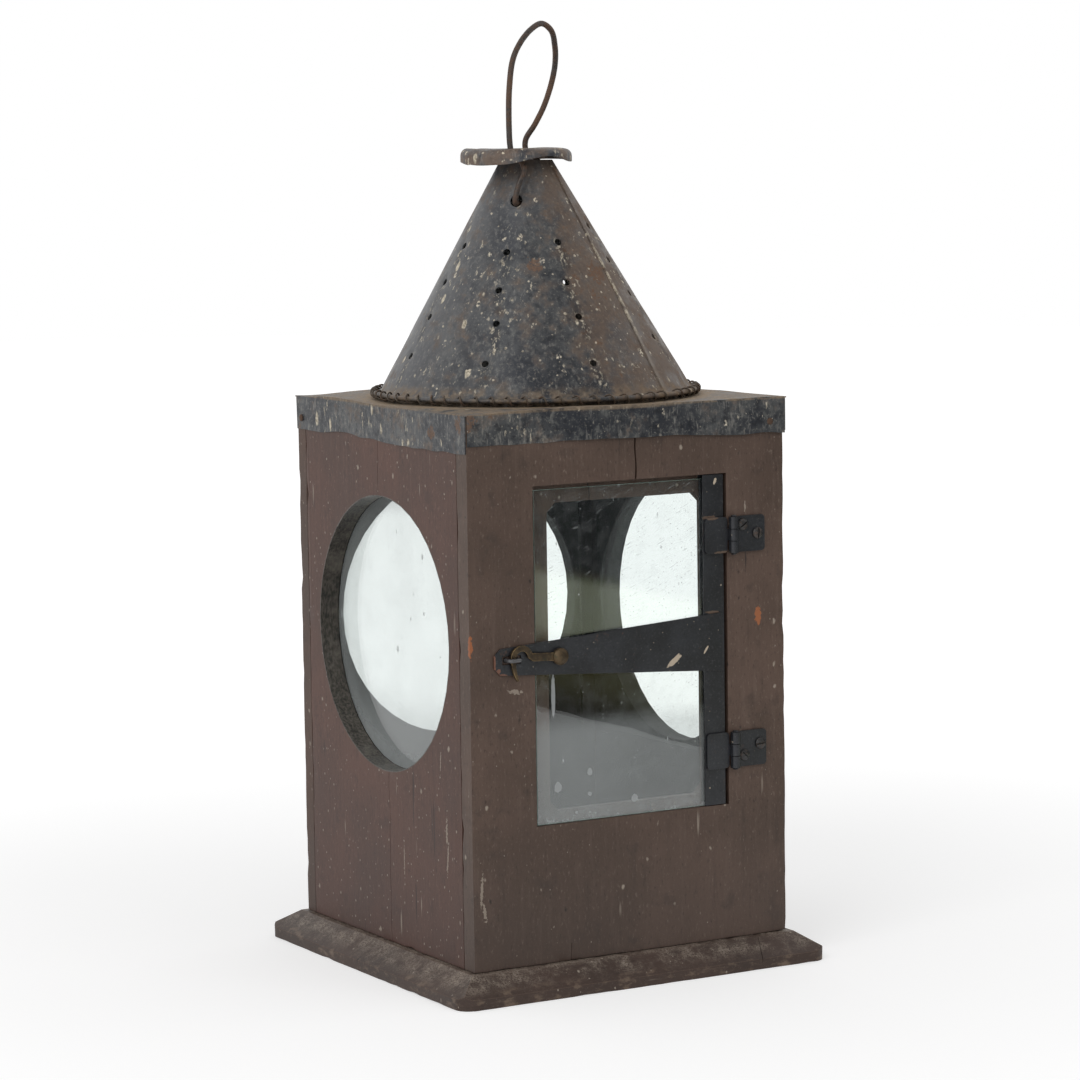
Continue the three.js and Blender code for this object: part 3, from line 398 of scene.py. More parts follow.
def settle(piece):
    """Gives the object its mesh as the modifiers leave it, and takes them off."""
    bpy.context.view_layer.update()
    ready = piece.evaluated_get(bpy.context.evaluated_depsgraph_get())
    data = bpy.data.meshes.new_from_object(ready)
    piece.modifiers.clear()
    piece.data = data
    return data


def as_data(name, mesh):
    """The mesh that an object can hold, from one in the making."""
    data = bpy.data.meshes.new(name)
    mesh.to_mesh(data)
    mesh.free()
    return data


def place_piece(mesh, name, body, slot, material, *nodes, smooth=32):
    """Makes the piece's object, which rides on its body and stands for its nodes."""
    data = as_data(name, mesh) if isinstance(mesh, bmesh.types.BMesh) else mesh
    data.name = name
    data.shade_smooth()
    data.set_sharp_from_angle(angle=math.radians(smooth))
    data.materials.clear()
    data.materials.append(material)
    piece = put(name, data)
    flat = piece.modifiers.new("flat faces", "WEIGHTED_NORMAL")
    flat.keep_sharp = True
    settle(piece)
    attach(piece, body)
    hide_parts(*nodes)
    return piece


def split_wedges(cracks):
    """Thin wedges that open a board along each crack: the points of a crack, which way is
    outside, how deep it goes, and its width, all in millimetres."""
    wedges = bmesh.new()
    for path, out, depth, width in cracks:
        out = Vector(out)
        ring = []
        for i, point in enumerate(path):
            point = Vector(point)
            along = (Vector(path[min(i + 1, len(path) - 1)]) - Vector(path[max(i - 1, 0)])).normalized()
            side = along.cross(out)
            open_here = width * (0.7 + 0.6 * abs(noise.noise(point * 0.11)))
            ring.append([
                wedges.verts.new(place * mm) for place in (
                    point + out + side * open_here, point + out - side * open_here,
                    point - out * depth,
                )
            ])
        for one, two in zip(ring, ring[1:]):
            for i in range(3):
                j = (i + 1) % 3
                wedges.faces.new([one[i], one[j], two[j], two[i]])
        wedges.faces.new(ring[0][::-1])
        wedges.faces.new(ring[-1])
    bmesh.ops.recalc_face_normals(wedges, faces=wedges.faces)
    return as_data("wedges", wedges)


def wander(start, end, steps, sway, axis, seed):
    """Points from start to end that sway sideways along an axis, as a split does."""
    points = []
    for i in range(steps + 1):
        point = Vector(start).lerp(Vector(end), i / steps)
        point[axis] += sway * noise.noise(Vector((i * 0.37, seed, 0)))
        points.append(tuple(point))
    return points


def worn_board(node, material, cracks, arris=0.8, depth=0.38):
    """A board with its arrises worn and nicked, opened along its cracks."""
    mesh = whole_node(node)
    ease(mesh, arris, 2 if arris < 1 else 4)
    low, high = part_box(node)
    slice_up(mesh, 6.5, low, high)
    for vert in mesh.verts:
        vert.co += wear_arris(vert.co, low, high, depth, arris * 1.2) + uneven(vert.co)
    board = place_piece(mesh, f"worn_{node}", "case", "painted_wood", material, node)
    wedges = put("wedges", split_wedges(cracks))
    opened = board.modifiers.new("cracks", "BOOLEAN")
    opened.object = wedges
    opened.solver = "EXACT"
    settle(board)
    bpy.data.objects.remove(wedges)


def drawn_out(axis, times):
    """How far a pattern is drawn out along each axis."""
    return [times if i == axis else 1 for i in range(3)]


window_height, window_radius = 179.5, 72.8
case_half = 95.2 * mm
inner_half, inner_back, inner_floor = 84.4 * mm, 86.3 * mm, 14.5 * mm


def ledge_dust(paint, colour, cloud, seed):
    """Grey dust on the ledge of the base, thick where the case stands on it, and rubbed edges."""
    x, y, z = paint.place.parts()
    beside = abs(x).most(abs(y)) - case_half
    patches = paint.grain(9, 6, 0.72, seed=seed + 40) + (-x - 0.06).rise(-0.02, 0.04) * 0.08
    settled = beside.rise(6 * mm, 0.5 * mm) * cloud.rise(0.35, 0.58) * z.rise(5 * mm, 9 * mm) * 0.7
    settled = settled.most(z.rise(5.5 * mm, 11.5 * mm) * patches.rise(0.40, 0.78) * 0.75)
    rubs = paint.grain(5, 5, 0.65, stretch=(2, 2, 1), seed=seed + 44).rise(0.5, 0.7)
    grit = paint.grain(0.9, 3, seed=seed + 48)
    colour = paint.mix(settled * grit.rise(0.32, 0.6) * 0.95, colour, shade(164, 151, 137))
    return paint.mix(z.rise(9.5 * mm, 6 * mm) * rubs * 0.75, colour, shade(122, 104, 88))


def pine_paint(name, window=None, brush_axis=2, chips=(), scrapes=(), seed=0.0, speckled=1.0, dirt=0.0,
               light=(1.0, 1.0, 1.0), foot=False, rim_dust=0.0):
    """Old brown paint on pine. `window` is the axis that the board's round window goes along; `light`
    brightens or darkens this board's copy of the paint, as painted light and shade.
    """
    paint = Finish(name)
    x, y, z = paint.place.parts()
    brush = paint.grain(3.4, 5, 0.6, stretch=drawn_out(brush_axis, 11), seed=seed + 3)
    wide = paint.grain(60, 3, seed=seed)
    cloud = paint.grain(12, 5, 0.6, seed=seed + 8)
    fine_dirt = paint.grain(1.3, 5, 0.65, stretch=drawn_out(brush_axis, 2.5), seed=seed + 33)

    # Painted light and shade: every brown of this paint is scaled by `light` for how this board's face
    # is lit
    def brown(red, green, blue):
        return shade(*(part * share for part, share in zip((red, green, blue), light)))

    colour = paint.mix(wide.rise(0.35, 0.68), brown(70, 51, 41), brown(84, 62, 51))
    for share, tint in (
        (brush.rise(0.52, 0.8) * 0.28, brown(102, 80, 68)),
        (brush.rise(0.45, 0.25) * 0.3, brown(48, 35, 30)),
        (cloud.rise(0.55, 0.72) * 0.45, brown(52, 39, 33)),
        (fine_dirt.rise(0.56, 0.76) * 0.5, brown(124, 102, 88)),
        (fine_dirt.rise(0.44, 0.28) * 0.6, brown(38, 28, 24)),
        (z.rise(0.11, 0.02) * 0.3, brown(56, 45, 40)),
    ):
        colour = paint.mix(share, colour, tint)
    # Hairline splits and runs along the grain
    hair = paint.grain(2.6, 2, stretch=drawn_out(brush_axis, 60), seed=seed + 21)
    line = (hair - 0.70).rise(0, 0.02) * paint.grain(38, 2, seed=seed + 5).rise(0.5, 0.6)
    colour = paint.mix(line * 0.8, colour, brown(30, 24, 22))
    # Flaked arrises and scrapes show dry wood or old grey dirt
    worn = paint.stored("arris") * 0.75 + paint.grain(2.5, 4, seed=seed + 11) * 0.9
    flake = (worn + dirt - 1.02).rise(0, 0.1)
    colour = paint.mix(flake * 0.75, colour, shade(116, 96, 82))
    if chips:
        colour = paint.mix(paint.marks(chips, 0.9, 1.6), colour, shade(158, 96, 60))
    dark = paint.specks(9, 0.03, 0.09, seed + 13, (1, 1, 1.6), 0.35)
    colour = paint.mix(dark * 0.8, colour, brown(24, 19, 17))
    pale = paint.specks(8, 0.03, 0.10, seed, (1, 1, 1.5), 0.42 * speckled)
    fine_pale = paint.specks(3.4, 0.06, 0.15, seed + 4, (1, 1, 1.3), 0.18 * speckled)
    run_stretch = (1, 1, 8) if brush_axis == 2 else (8, 1, 1)
    runs = paint.specks(8, 0.04, 0.10, seed + 9, run_stretch, 0.2 * speckled)
    pale = pale.most(fine_pale * 0.9).most(runs * 0.8)
    if scrapes:
        pale = pale.most(paint.marks(scrapes, 1.3, 1.2) * 0.8)
    colour = paint.mix(pale * 0.8, colour, shade(166, 154, 140))
    dust = paint.grain(1.0, 3, 0.7, seed=seed + 14).rise(0.58, 0.74) * (0.2 + dirt)
    colour = paint.mix(dust, colour, shade(132, 120, 108))
    if foot:
        colour = ledge_dust(paint, colour, cloud, seed)
    # Soot and bare dark wood inside the case, made near black as painted shade, and the dark reveal of
    # the window
    inside = abs(x).under(inner_half) * y.over(-inner_half) * y.under(inner_back)
    inside = inside * (z - inner_floor).rise(0, 0.4 * mm)
    colour = paint.mix(inside, colour, paint.mix(cloud, shade(5, 5, 5), shade(22, 19, 15)))
    rough = (wide * 0.1 + 0.5 + flake * 0.25 + inside * 0.45).least(0.95)
    if window:
        beside = {"x": y, "y": x}[window]
        ring = paint.length(paint.vector(beside, 0.0, z - window_height * mm))
        reveal = ring.under((window_radius + 0.4) * mm) * (1 - inside)
        rim = paint.mix(fine_dirt.rise(0.35, 0.7), shade(46, 44, 41), shade(104, 98, 90))
        rim = paint.mix(cloud.rise(0.45, 0.7) * 0.5, rim, shade(128, 121, 112))
        colour = paint.mix(reveal * rim_dust, colour, rim)
        colour = paint.mix(reveal * (1 - rim_dust), colour, shade(14, 14, 13))
        rough = rough + reveal * (0.2 - rim_dust * 0.3)
    relief = brush * 0.4 + cloud * 0.5 + pale * 0.25 - line * 0.6 - flake * 0.3
    surface = paint.surface(colour, rough, relief, 0.25, **{"Specular IOR Level": 0.42})
    return paint.close(surface, shade(78, 62, 56))


# The front, left and base boards take the same paint made lighter or darker by `light`, as painted
# light and shade
front_paint = pine_paint("front_paint", speckled=0.9, seed=1.0, light=(1.12, 1.21, 1.27), chips=[
    ((78.8, -95, 185.5), (1.9, 2, 4.6)), ((-94.6, -95, 183), (1.4, 2, 5.5)),
], scrapes=[
    ((-90.2, -95, 57), (0.8, 2, 8), (0, 4, 0)), ((-88.6, -95, 46), (0.9, 2, 5), (0, -8, 0)),
    ((-69, -95, 158), (4, 2, 1.2), (0, 10, 0)), ((71.2, -95, 243.7), (0.5, 1, 2.4)),
])
left_paint = pine_paint("left_paint", "x", seed=5.0, speckled=1.6, dirt=0.02,
                        light=(1.08, 1.01, 1.03), rim_dust=1.0, scrapes=[
    ((-95, -67.4, 84), (2, 0.9, 7)), ((-95, -68.2, 70), (2, 0.7, 8), (6, 0, 0)),
    ((-95, 88, 52), (2, 0.6, 12)), ((-95, -54, 223), (2, 0.5, 8), (-7, 0, 0)),
    ((-95, -62, 120), (2, 0.4, 6), (4, 0, 0)), ((-95, -20, 62), (2, 0.4, 9)),
])
right_paint = pine_paint("right_paint", "x", seed=9.0, speckled=1.2, dirt=0.02)
back_paint = pine_paint("back_paint", "y", seed=13.0, dirt=0.02)
base_paint = pine_paint("base_paint", brush_axis=0, seed=17.0, speckled=1.6, dirt=0.14, foot=True,
                        light=(0.9, 0.92, 0.94))

worn_board("base_board", base_paint, [
    (wander((69, -112.5, 4), (75, -98, 15.3), 6, 0.4, 0, 2), (0, 0, 1), 3, 0.25),
], arris=2.1, depth=0.35)
worn_board("front_board", front_paint, [
    (wander((4.2, -95, 262.0), (4.5, -95, 302), 9, 0.8, 0, 1), (0, -1, 0), 12.5, 0.55),
    (wander((-38, -95, 14.5), (-37.4, -95, 24), 4, 0.5, 0, 4), (0, -1, 0), 4, 0.22),
])
worn_board("left_board", left_paint, [
    (wander((-95, 2.2, 253.2), (-95, 1.4, 300), 9, 0.7, 1, 5), (-1, 0, 0), 2.0, 0.28),
    (wander((-95, -4.0, 15), (-95, -4.4, 106), 16, 0.9, 1, 6), (-1, 0, 0), 2.0, 0.26),
    (wander((-95, 82.3, 186), (-95, 83.6, 300), 16, 0.8, 1, 7), (-1, 0, 0), 1.2, 0.16),
])
worn_board("right_board", right_paint, [
    (wander((95, -12, 15), (95, -13, 106), 14, 0.8, 1, 8), (1, 0, 0), 1.8, 0.22),
])
worn_board("back_board", back_paint, [
    (wander((21, 95, 15), (20, 95, 107), 14, 0.8, 0, 9), (0, 1, 0), 1.8, 0.22),
    (wander((20, 95, 252), (20.6, 95, 300), 8, 0.8, 0, 10), (0, 1, 0), 1.8, 0.22),
])


# Glass: a square pane behind each round window, and the door's own pane, whose ground edges show.
# Old, a little dusty, with spots of lime and fine scratches.
def door_dirt(glass, spots):
    """A clouded foot that is partly dust and partly a painted reflection of the floor, a dusty lower
    rim, slanting scratches, grit and spots of lime.
    """
    x, _, z = glass.place.parts()
    # Painted reflection of the floor, with dust: a film low on the pane that reaches higher on the left
    low = z.rise(146 * mm, 132 * mm)
    corner = glass.grain(4, 5, 0.65, seed=9).rise(0.4, 0.8)
    rim = (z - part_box("door_glass")[0].z).rise(12 * mm, 0.5 * mm) * corner * 0.4
    slanting = glass.add("ShaderNodeVectorRotate", {"rotation_type": "Y_AXIS"}, {
        "Vector": glass.place, "Angle": math.radians(24),
    })
    scratch = glass.grain(1.0, 2, stretch=(9, 1, 1), seed=4, at=slanting).rise(0.62, 0.74)
    grit = glass.specks(2.1, 0.05, 0.16, 15, chance=0.3) * 0.4
    left_reflection_and_dust = low * (-x).rise(-0.02, 0.03) * 0.06
    lime = glass.marks(spots, 0.35, 1.2) * 0.6
    film = (low * 0.16 + left_reflection_and_dust + rim).most(scratch * z.rise(0.175, 0.225) * 0.3)
    return film.most(grit).most(lime)


def old_glass(name, haze, bend=1.5, packed=False, door_spots=()):
    """`packed` has dust round the rim of the window and a low film that is partly dust and partly a
    painted reflection of the floor; the door's pane has spots of lime.
    """
    glass = Finish(name)
    film = (glass.grain(30, 3, seed=2).rise(0.2, 0.9) * 0.5 + 0.75) * haze
    dirt = glass.specks(3.4, 0.02, 0.10, 3, chance=0.3) * 0.6
    dirt = dirt.most(glass.specks(9, 0.01, 0.07, 5, (1, 1, 2.4), 0.35) * 0.8)
    runs = glass.grain(1.6, 4, stretch=(1, 1, 5), seed=6).rise(0.68, 0.78)
    cover = film.most(dirt) + runs * glass.grain(16, 2, seed=8).rise(0.5, 0.62) * 0.3
    if packed:
        # Dust packed round the rim of the window, and a chalky film low down that is partly a painted
        # reflection of the floor
        _, y, z = glass.place.parts()
        ring = glass.length(glass.vector(y, 0.0, z - window_height * mm))
        rim_dust = ring.rise(0.060, 0.072) * 0.16 + z.rise(0.155, 0.115) * 0.19
        cover = cover + rim_dust * (glass.grain(5, 5, seed=12) * 0.6 + 0.6)
    if door_spots:
        smear = glass.grain(9, 5, 0.7, seed=14).rise(0.45, 0.75) * 0.06
        cover = cover.most(door_dirt(glass, door_spots)) + smear
    dusty = glass.add("ShaderNodeBsdfDiffuse", {}, [shade(186, 190, 190)])
    clear = glass.surface(
        (0.94, 0.975, 0.965, 1), 0.0, glass.grain(30, 1, seed=1), 0.03,
        **{"Transmission Weight": 1.0, "IOR": bend},
    )
    pane_seen = glass.add("ShaderNodeMixShader", {}, [cover.least(1), clear, dusty])
    if door_spots:
        # The ground edges of a bare pane are green and dull
        green = glass.add("ShaderNodeBsdfDiffuse", {}, [shade(112, 142, 130)])
        ground = glass.stored("arris") * 0.7
        pane_seen = glass.add("ShaderNodeMixShader", {}, [ground, pane_seen, green])
    # Shadows and soft light pass straight through
    kinds = ("Is Shadow Ray", "Is Diffuse Ray")
    shadow, soft = (glass.add("ShaderNodeLightPath", out=kind) for kind in kinds)
    let_in = glass.add("ShaderNodeBsdfTransparent", {}, [(0.82, 0.85, 0.84, 1)])
    whole = glass.add("ShaderNodeMixShader", {}, [shadow.most(soft), pane_seen, let_in])
    return glass.close(whole, (0.8, 0.85, 0.84))


def dress(node, material):
    """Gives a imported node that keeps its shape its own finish."""
    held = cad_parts[node]
    held.data.materials.clear()
    held.data.materials.append(material)


dress("left_pane", old_glass("left_glass", 0.15, packed=True))
dress("right_pane", old_glass("right_glass", 0.02, 1.12))
dress("back_pane", old_glass("back_glass", 0.02, 1.12))
door_pane = old_glass("door_pane", 0.012, door_spots=[
    ((-24.8, -93.9, 112.3), (1.7, 2, 2)), ((-25, -93.9, 100.8), (1.4, 2, 1.3)),
    ((-43.9, -93.9, 106), (2.2, 2, 3.2)), ((2.1, -93.9, 96), (2, 2, 2.3)),
    ((-46, -93.9, 154), (1.2, 2, 12)), ((-33, -93.9, 92), (0.9, 2, 0.9)),
    ((20, -93.9, 226), (0.6, 2, 0.9)), ((-30, -93.9, 205), (0.5, 2, 0.6)),
])
pane = whole_node("door_glass")
ease(pane, 0.35)
place_piece(pane, "ground_door_glass", "door", "old_glass", door_pane, "door_glass")


# Cap: one sheet of tin beaten down over the top of the case, its four skirts slit at the corners
# and nailed, with a collar turned up inside the chimney's foot.
class Maker(Tree):
    """A Geometry Nodes tree with named inputs, and the mesh that it makes."""

    def __init__(self, name, **sizes):
        super().__init__(bpy.data.node_groups.new(name, "GeometryNodeTree"))
        self.name = name
        faces = self.tree.interface
        faces.new_socket("Geometry", in_out="INPUT", socket_type="NodeSocketGeometry")
        faces.new_socket("Geometry", in_out="OUTPUT", socket_type="NodeSocketGeometry")
        kinds = {int: "NodeSocketInt", float: "NodeSocketFloat"}
        self.given = {}
        for label, size in sizes.items():
            kind = kinds.get(type(size), "NodeSocketObject")
            words = label.replace("_", " ").capitalize()
            socket = faces.new_socket(words, in_out="INPUT", socket_type=kind)
            self.given[socket.identifier] = size
        node = self.tree.nodes.new("NodeGroupInput")
        self.start = Value(self, node.outputs[0])
        for i, label in enumerate(sizes):
            setattr(self, label, Value(self, node.outputs[i + 1]))

    def shape(self, item):
        """The mesh of an object that is given to the tree."""
        return self.add("GeometryNodeObjectInfo", {}, [item], out="Geometry")

    def along_way(self):
        """The turn that stands +Z up along the way out that each mark carries."""
        way = self.add("GeometryNodeInputNamedAttribute", {"data_type": "FLOAT_VECTOR"}, ["out"])
        return self.add("FunctionNodeAlignRotationToVector", {"axis": "Z"}, {"Vector": way})

    def at_marks(self, marks, item, turn):
        sockets = {"Points": self.shape(marks), "Instance": item, "Rotation": turn}
        return self.add("GeometryNodeInstanceOnPoints", {}, sockets)

    def cut(self, mesh, tool, crossing=False):
        """Takes a tool's shape out of a mesh; crossing tools merge first."""
        sockets = {0: mesh, 1: tool, "Self Intersection": crossing}
        kind = {"operation": "DIFFERENCE", "solver": "EXACT"}
        return self.add("GeometryNodeMeshBoolean", kind, sockets)

    def store(self, mesh, name, value):
        """A number that each point of the mesh carries for its finish."""
        sockets = {"Geometry": mesh, "Name": name, "Value": value}
        kind = {"data_type": "FLOAT", "domain": "POINT"}
        return self.add("GeometryNodeStoreNamedAttribute", kind, sockets)

    def near(self, kind, item, place):
        """How far a place is from the points or edges of a guide."""
        sockets = {0: self.shape(item), "Sample Position": place}
        return self.add("GeometryNodeProximity", {"target_element": kind}, sockets, out="Distance")

    def bumps(self, place, scale, detail, out=0):
        """Soft noise, as one number or, for out="Color", three."""
        sockets = {"Vector": place, "Scale": scale, "Detail": detail}
        return self.add("ShaderNodeTexNoise", {}, sockets, out=out)

    def shift(self, mesh, offset):
        return self.add("GeometryNodeSetPosition", {}, {"Geometry": mesh, "Offset": offset})

    def make(self, geometry, material, start=None):
        """Ends the tree, runs it on a mesh, and gives the plain result."""
        real = self.add("GeometryNodeRealizeInstances", {}, [geometry])
        dressed = self.add("GeometryNodeSetMaterial", {}, {"Geometry": real, "Material": material})
        self.add("NodeGroupOutput", {}, [dressed])
        holder = put(self.name, start or bpy.data.meshes.new(self.name))
        modifier = holder.modifiers.new(self.name, "NODES")
        modifier.node_group = self.tree
        for identifier, size in self.given.items():
            modifier[identifier] = size
        made = settle(holder)
        bpy.data.objects.remove(holder)
        return made


def tin_finish(name, rust, lime, seed, tone, mottle=1.0, marks=(), cone=False, hemmed=False):
    """Dark tin with rust and flecks of old limewash. The marks are spots of open rust."""
    tin = Finish(name)
    x, y, z = tin.place.parts()
    ring = tin.length(tin.vector(x, y, 0.0))
    wide = tin.grain(30, 3, seed=seed)
    blot = tin.grain(10, 6, 0.62, seed=seed + 3)
    fine = tin.grain(1.5, 4, 0.6, seed=seed + 7)
    mid = tin.grain(4, 5, 0.6, seed=seed + 19)
    streak = tin.grain(2.2, 4, 0.6, stretch=(1, 1, 4), seed=seed + 53)

    def grey(red, green, blue):
        return shade(red * tone, green * tone, blue * tone)

    colour = tin.mix(wide.rise(0.32, 0.68), grey(36, 38, 43), grey(66, 67, 68))
    for share, tint in (
        (mid.rise(0.5, 0.7) * 0.5, grey(86, 86, 84)),
        (streak.rise(0.54, 0.74) * 0.6, grey(108, 106, 102)),
        (fine.rise(0.54, 0.76) * 0.6, grey(110, 108, 102)),
        (mid.rise(0.48, 0.34) * 0.5, grey(26, 27, 31)),
        (fine.rise(0.42, 0.25) * 0.5, grey(22, 23, 26)),
    ):
        colour = tin.mix(share * mottle, colour, tint)
    amount = (wide - 0.5) * 0.5 + (rust - 0.5) * 0.5
    if cone:
        # Painted sheen: the chimney is paler down its two sides as the camera sees them; it is browner
        # at the right and round its top
        bearing = (x * 0.87 - y * 0.5) / ring
        painted_sheen = abs(bearing).rise(0.3, 0.95)
        right_side = bearing.rise(0.1, 0.6)
        sheen_and_tan = tin.mix(right_side, grey(112, 112, 113), grey(124, 110, 98))
        colour = tin.mix((painted_sheen * 0.32).most(z.rise(0.375, 0.415) * 0.2), colour, sheen_and_tan)
        amount = amount + right_side * 0.14 + z.rise(0.385, 0.42) * 0.06
    rusty = (blot * 0.7 + mid * 0.3 + amount).rise(0.48, 0.70)
    brown = tin.mix(fine * 0.6 + mid * 0.4, grey(54, 47, 42), grey(112, 92, 76))
    colour = tin.mix(rusty * 0.62, colour, brown)
    open_rust = (mid + amount * 0.6).rise(0.66, 0.74) * blot.rise(0.45, 0.6)
    if marks:
        open_rust = open_rust.most(tin.marks(marks, 1.0, 3) * fine.rise(0.35, 0.5))
    colour = tin.mix(open_rust * 0.7, colour, tin.mix(fine, shade(88, 64, 50), shade(138, 108, 86)))
    flecks = tin.specks(8, 0.05, 0.20, seed + 2, (1, 1, 2.4), 0.5 * lime)
    dots = tin.specks(3.2, 0.08, 0.24, seed + 5, chance=0.22 * lime)
    hollow = tin.specks(6.4, 0.12, 0.26, seed + 41, (1, 1, 1.5), 0.25 * lime)
    shreds = tin.grain(2.6, 4, stretch=(1, 1, 2.6), seed=seed + 43).rise(0.62, 0.67)
    shreds = shreds * tin.grain(20, 3, seed=seed + 47).rise(0.45, 0.6)
    pale = flecks.most(dots * 0.8).most(hollow * fine.rise(0.45, 0.6)).most(shreds * lime * 0.8)
    if cone:
        # Dark runs under the vents with lime along them, painted light low on the lap where its step
        # would shade, and dust on the lap's edge
        drip = tin.stored("drip")
        wet = drip * tin.grain(3, 3, stretch=(1, 1, 3), seed=seed + 31).rise(0.42, 0.6)
        colour = tin.mix(drip * 0.45, colour, grey(26, 28, 32))
        pale = pale.most(wet * tin.grain(1.7, 3, stretch=(1, 1, 2), seed=seed + 33).rise(0.5, 0.62))
        lap = tin.stored("lap")
        # Painted light: the lap is made paler low down, so that its step shows no dark shadow line
        colour = tin.mix(lap * z.rise(0.37, 0.34) * 0.55, colour, grey(112, 104, 96))
        edge = lap * z.rise(0.33, 0.345) * z.rise(0.388, 0.375)
        pale = pale.most(edge * mid.rise(0.35, 0.55) * 0.8)
    wash = tin.mix(fine.rise(0.3, 0.6), shade(140, 130, 112), shade(222, 212, 192))
    colour = tin.mix(pale * 0.9, colour, wash)
    colour = tin.mix(tin.stored("arris") * mid.rise(0.4, 0.6) * 0.5, colour, shade(116, 96, 80))
    rough = 0.4 + rusty * 0.22 + open_rust * 0.2 + pale * 0.3 + fine * 0.12
    if hemmed:
        # Dust and rust packed on both sides of the hem, and dust that lies on the cap
        packed = tin.grain(3.2, 4, seed=seed + 23).rise(0.3, 0.54)
        if cone:
            packed = packed * z.rise(0.3115, 0.3065) * 0.55 * blot.rise(0.35, 0.6)
        else:
            packed = packed * abs(ring - 0.0905).rise(13 * mm, 1 * mm) * z.rise(0.2988, 0.2998)
            lying = z.rise(0.2996, 0.3003) * (blot * 0.5 + mid * 0.5).rise(0.36, 0.56) * 0.7
            packed = packed.most(lying)
        colour = tin.mix(packed, colour, tin.mix(fine, shade(108, 90, 72), shade(172, 152, 126)))
        rough = rough + packed * 0.3
    relief = fine * 0.35 + blot * 0.5 + pale * 0.3 - open_rust * 0.2 + mid * 0.3
    surface = tin.surface(colour, rough.least(0.95), relief, 0.32, Metallic=0.42)
    return tin.close(surface, shade(60, 60, 60))


cap_tin = tin_finish("cap_tin", 0.42, 0.85, 2.0, 1.3, 1.3, [
    ((-93, -97, 297), (3.5, 2, 5)), ((-97, -88, 296), (2, 4, 6)), ((-97, -60, 290), (2, 4, 3)),
], hemmed=True)
cap = whole_node("cap_sheet")
low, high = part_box("cap_sheet")
board_top, flat_part, outer_part = 300 * mm, 80 * mm, 16 * mm


def folded(edge):
    """The cap's outer top edges, where the sheet turns down over the boards."""
    return all(
        max(abs(v.co.x), abs(v.co.y)) > high.x - 0.01 * mm and v.co.z > board_top + 0.6 * mm
        for v in edge.verts
    )


ease(cap, 0.95, 3, where=folded)
slice_up(cap, 5, low, high)
for vert in cap.verts:
    x, y, z = vert.co
    near_edge = max(0, (max(abs(x), abs(y)) - flat_part) / outer_part)
    skirt = max(0.0, min(1.0, (board_top - z) / (15 * mm)))
    bent = noise.noise_vector(vert.co * 21 + Vector((3, 1, 2))) * 1.3 * mm
    rag = (noise.noise(vert.co * 70) + noise.noise(vert.co * 22)) * 1.1 * mm * skirt
    sag = max(0, noise.noise(Vector((x * 30, y * 30, 7)))) * near_edge * mm * (1 - skirt)
    vert.co += uneven(vert.co) + bent * (0.1 + 0.9 * near_edge) + Vector((0, 0, rag - sag))
place_piece(cap, "beaten_cap", "case", "dark_tin", cap_tin, "cap_sheet", smooth=45)


# Chimney: a cone of tin sheet lapped at a seam and pierced with a nail from outside. A small
# flange at its foot is rolled over a wire.
hem = Vector((0, 0, 303.85)) * mm
cone_height, cone_top, hem_radius = 122.3, 13.8, 86.0
flange_width, flange_slope = 3.7, math.radians(22.5)
foot_radius = hem_radius - flange_width * math.cos(flange_slope)
foot_height = flange_width * math.sin(flange_slope)
cone_fall = (foot_radius - cone_top) / (cone_height - foot_height)
cone_lean = (-2.9, 1.7)
# The sheet, the degrees that it laps, and those over which the lap lifts its outer end
sheet, tail, seam_ease = 0.7, 7.0, 45
lap_lift = 1.08 * sheet
seam_angle = -64.0
row_crowding, row_slant, seam_reach = 1.15, math.radians(4), math.radians(16)
# The vents on one half of the cone, by angle and height; the other half has the same
vents = [
    (177, 78.2), (172.3, 59.4), (174.6, 41.3), (173.9, 21.1),
    (-137.3, 75.3), (-139.1, 55.9), (-137.9, 39), (-140.3, 18.8),
    (-95.8, 80.1), (-97.7, 59.4), (-95.7, 41.9), (-94.8, 18.3),
    (-48.8, 87.6), (-47.7, 69.6), (-44.7, 51.7), (-47.5, 28.8),
]


def on_cone(angle, height):
    """A place on the cone's outer face, and the way out of it."""
    radius = foot_radius - cone_fall * (height - foot_height) + sheet / 2
    lean = height / cone_height
    turn = math.radians(angle)
    place = Vector((radius * math.cos(turn) + cone_lean[0] * lean,
                    radius * math.sin(turn) + cone_lean[1] * lean, height))
    return place * mm + hem, Vector((math.cos(turn), math.sin(turn), cone_fall)).normalized()


def guide(name, places, edges=()):
    """An object of loose points, each with its way out, or of edges, for a tree to read."""
    data = bpy.data.meshes.new(name)
    data.from_pydata([place for place, _ in places], edges, [])
    out = data.attributes.new("out", "FLOAT_VECTOR", "POINT")
    out.data.foreach_set("vector", [part for _, way in places for part in way])
    return put(name, data)


def pierce(mesh, marks, radius, reach, material, sides, crossing=False):
    """Cuts a round hole through a mesh at each mark, along its way out."""
    punch = Maker("pierce", marks=marks, hole_radius=radius * mm, reach=reach * mm, sides=sides)
    rod = punch.add("GeometryNodeMeshCylinder", {"fill_type": "NGON"}, {
        "Vertices": punch.sides, "Radius": punch.hole_radius, "Depth": punch.reach,
    })
    rods = punch.at_marks(punch.marks, rod, punch.along_way())
    rods = punch.add("GeometryNodeRealizeInstances", {}, [rods])
    made = punch.make(punch.cut(punch.start, rods, crossing), material, mesh)
    bpy.data.objects.remove(marks)
    return made


def thicken(mesh, thickness):
    """Gives a surface the sheet's thickness, on its inner side."""
    holder = put("sheet", mesh)
    solid = holder.modifiers.new("sheet", "SOLIDIFY")
    solid.thickness = thickness * mm
    solid.offset = -1
    made = settle(holder)
    bpy.data.objects.remove(holder)
    return made


